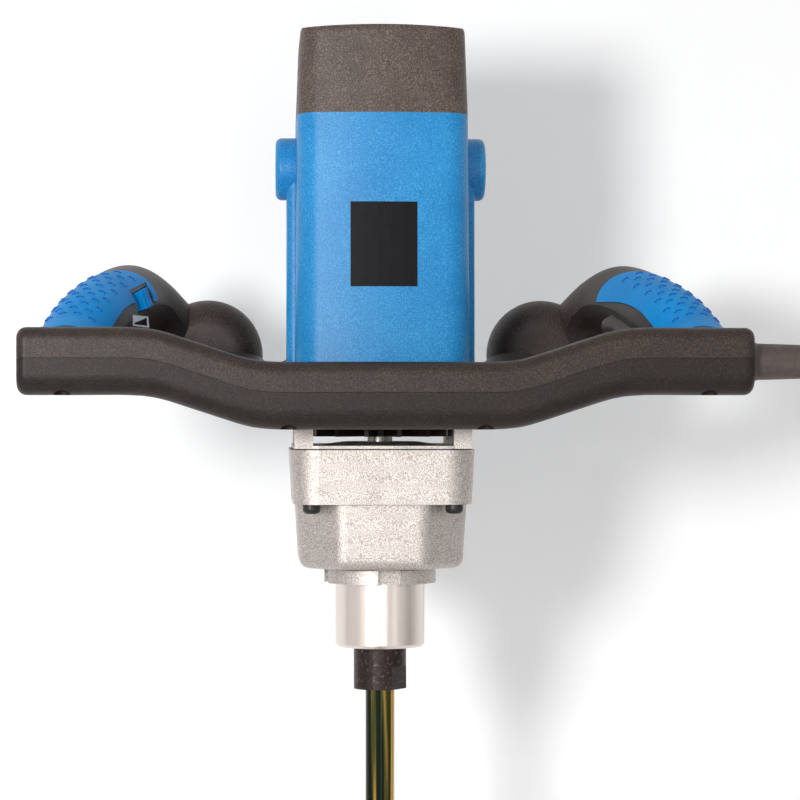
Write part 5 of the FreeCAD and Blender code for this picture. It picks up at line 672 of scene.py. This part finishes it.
# the sky is brightest in front and above, on the left; metal mirrors a brighter room with pale side walls
SKY_WAY = (-0.2, -0.65, 0.73)
SKY = {"From Min": -0.2, "From Max": 0.95, "To Min": 0.1, "To Max": 0.48}
SIDE_WALLS = (0.6, 0, 0)
ROOM = {"From Min": -0.3, "From Max": 0.95, "To Min": 0.2, "To Max": 1.0}
world = bpy.data.worlds.new("studio")
bpy.context.scene.world = world
world.use_nodes = True
tree = world.node_tree
seen = add(tree, "ShaderNodeLightPath")
way = add(tree, "ShaderNodeTexCoord")
front = add(tree, "ShaderNodeVectorMath", {"operation": "DOT_PRODUCT", 1: SKY_WAY}, {0: (way, "Generated")})
sky = add(tree, "ShaderNodeMapRange", {"interpolation_type": "SMOOTHSTEP", **SKY},
          {"Value": (front, "Value")})
spread = add(tree, "ShaderNodeVectorMath", {"operation": "ABSOLUTE"}, {0: (way, "Generated")})
walls = add(tree, "ShaderNodeVectorMath", {"operation": "DOT_PRODUCT", 1: SIDE_WALLS},
            {0: (spread, "Vector")})
around = add(tree, "ShaderNodeMath", {"operation": "ADD"}, {0: (front, "Value"), 1: (walls, "Value")})
room = add(tree, "ShaderNodeMapRange", {"interpolation_type": "SMOOTHSTEP", **ROOM}, {"Value": (around, 0)})
lit = add(tree, "ShaderNodeMix", {"data_type": "FLOAT"},
          {0: (seen, "Is Glossy Ray"), 2: (sky, 0), 3: (room, 0)})
strength = add(tree, "ShaderNodeMix", {"data_type": "FLOAT", 3: 1.0},
               {0: (seen, "Is Camera Ray"), 2: (lit, 0)})
feed(tree, tree.nodes["Background"], {"Strength": (strength, 0)})
tree.nodes["Background"].inputs["Color"].default_value = linear("#ffffff")


def aim(thing, at, target):
    """Put a lamp or camera at a point, looking at another."""
    thing.location = at
    thing.rotation_euler = (Vector(target) - Vector(at)).to_track_quat("-Z", "Y").to_euler()


STRIP = (0.16, 1.3)
STRIP_AIM = (0, 0, 0.1)
# each lamp's name, shape, size, watts, place and aim
LAMPS = [
    ("key_light", "DISK", (0.22, 0.22), 10.5, (-0.5, -1.2, 0.215), (0, 0, 0.12)),
    ("left_strip", "RECTANGLE", STRIP, 0.4, (-0.9, -0.8, 0.15), STRIP_AIM),
    ("right_strip", "RECTANGLE", STRIP, 0.6, (0.75, -1.0, 0.1), STRIP_AIM),
    ("front_strip", "RECTANGLE", STRIP, 3.0, (0.2, -1.7, 0.15), STRIP_AIM),
]
for name, shape, size, watts, at, target in LAMPS:
    lamp = bpy.data.objects.new(name, bpy.data.lights.new(name, "AREA"))
    lamp.data.shape = shape
    lamp.data.size, lamp.data.size_y = size
    lamp.data.energy = watts
    bpy.context.scene.collection.objects.link(lamp)
    aim(lamp, at, target)

# Camera: level with the handle bar, almost square to the front and a little to the left.
# Its long lens stands about 1.45 m from the spindle.
CAMERA_AT = (-0.0607, -1.449, 0.10275)
CAMERA_AIM = (0.0097, 0.0, 0.10275)
camera = bpy.data.objects.new("camera", bpy.data.cameras.new("camera"))
bpy.context.scene.collection.objects.link(camera)
camera.data.lens = 134.8
camera.data.sensor_width = 36.0
camera.data.clip_start = 0.05
aim(camera, CAMERA_AT, CAMERA_AIM)
bpy.context.scene.camera = camera

bpy.context.scene.view_settings.view_transform = "Standard"
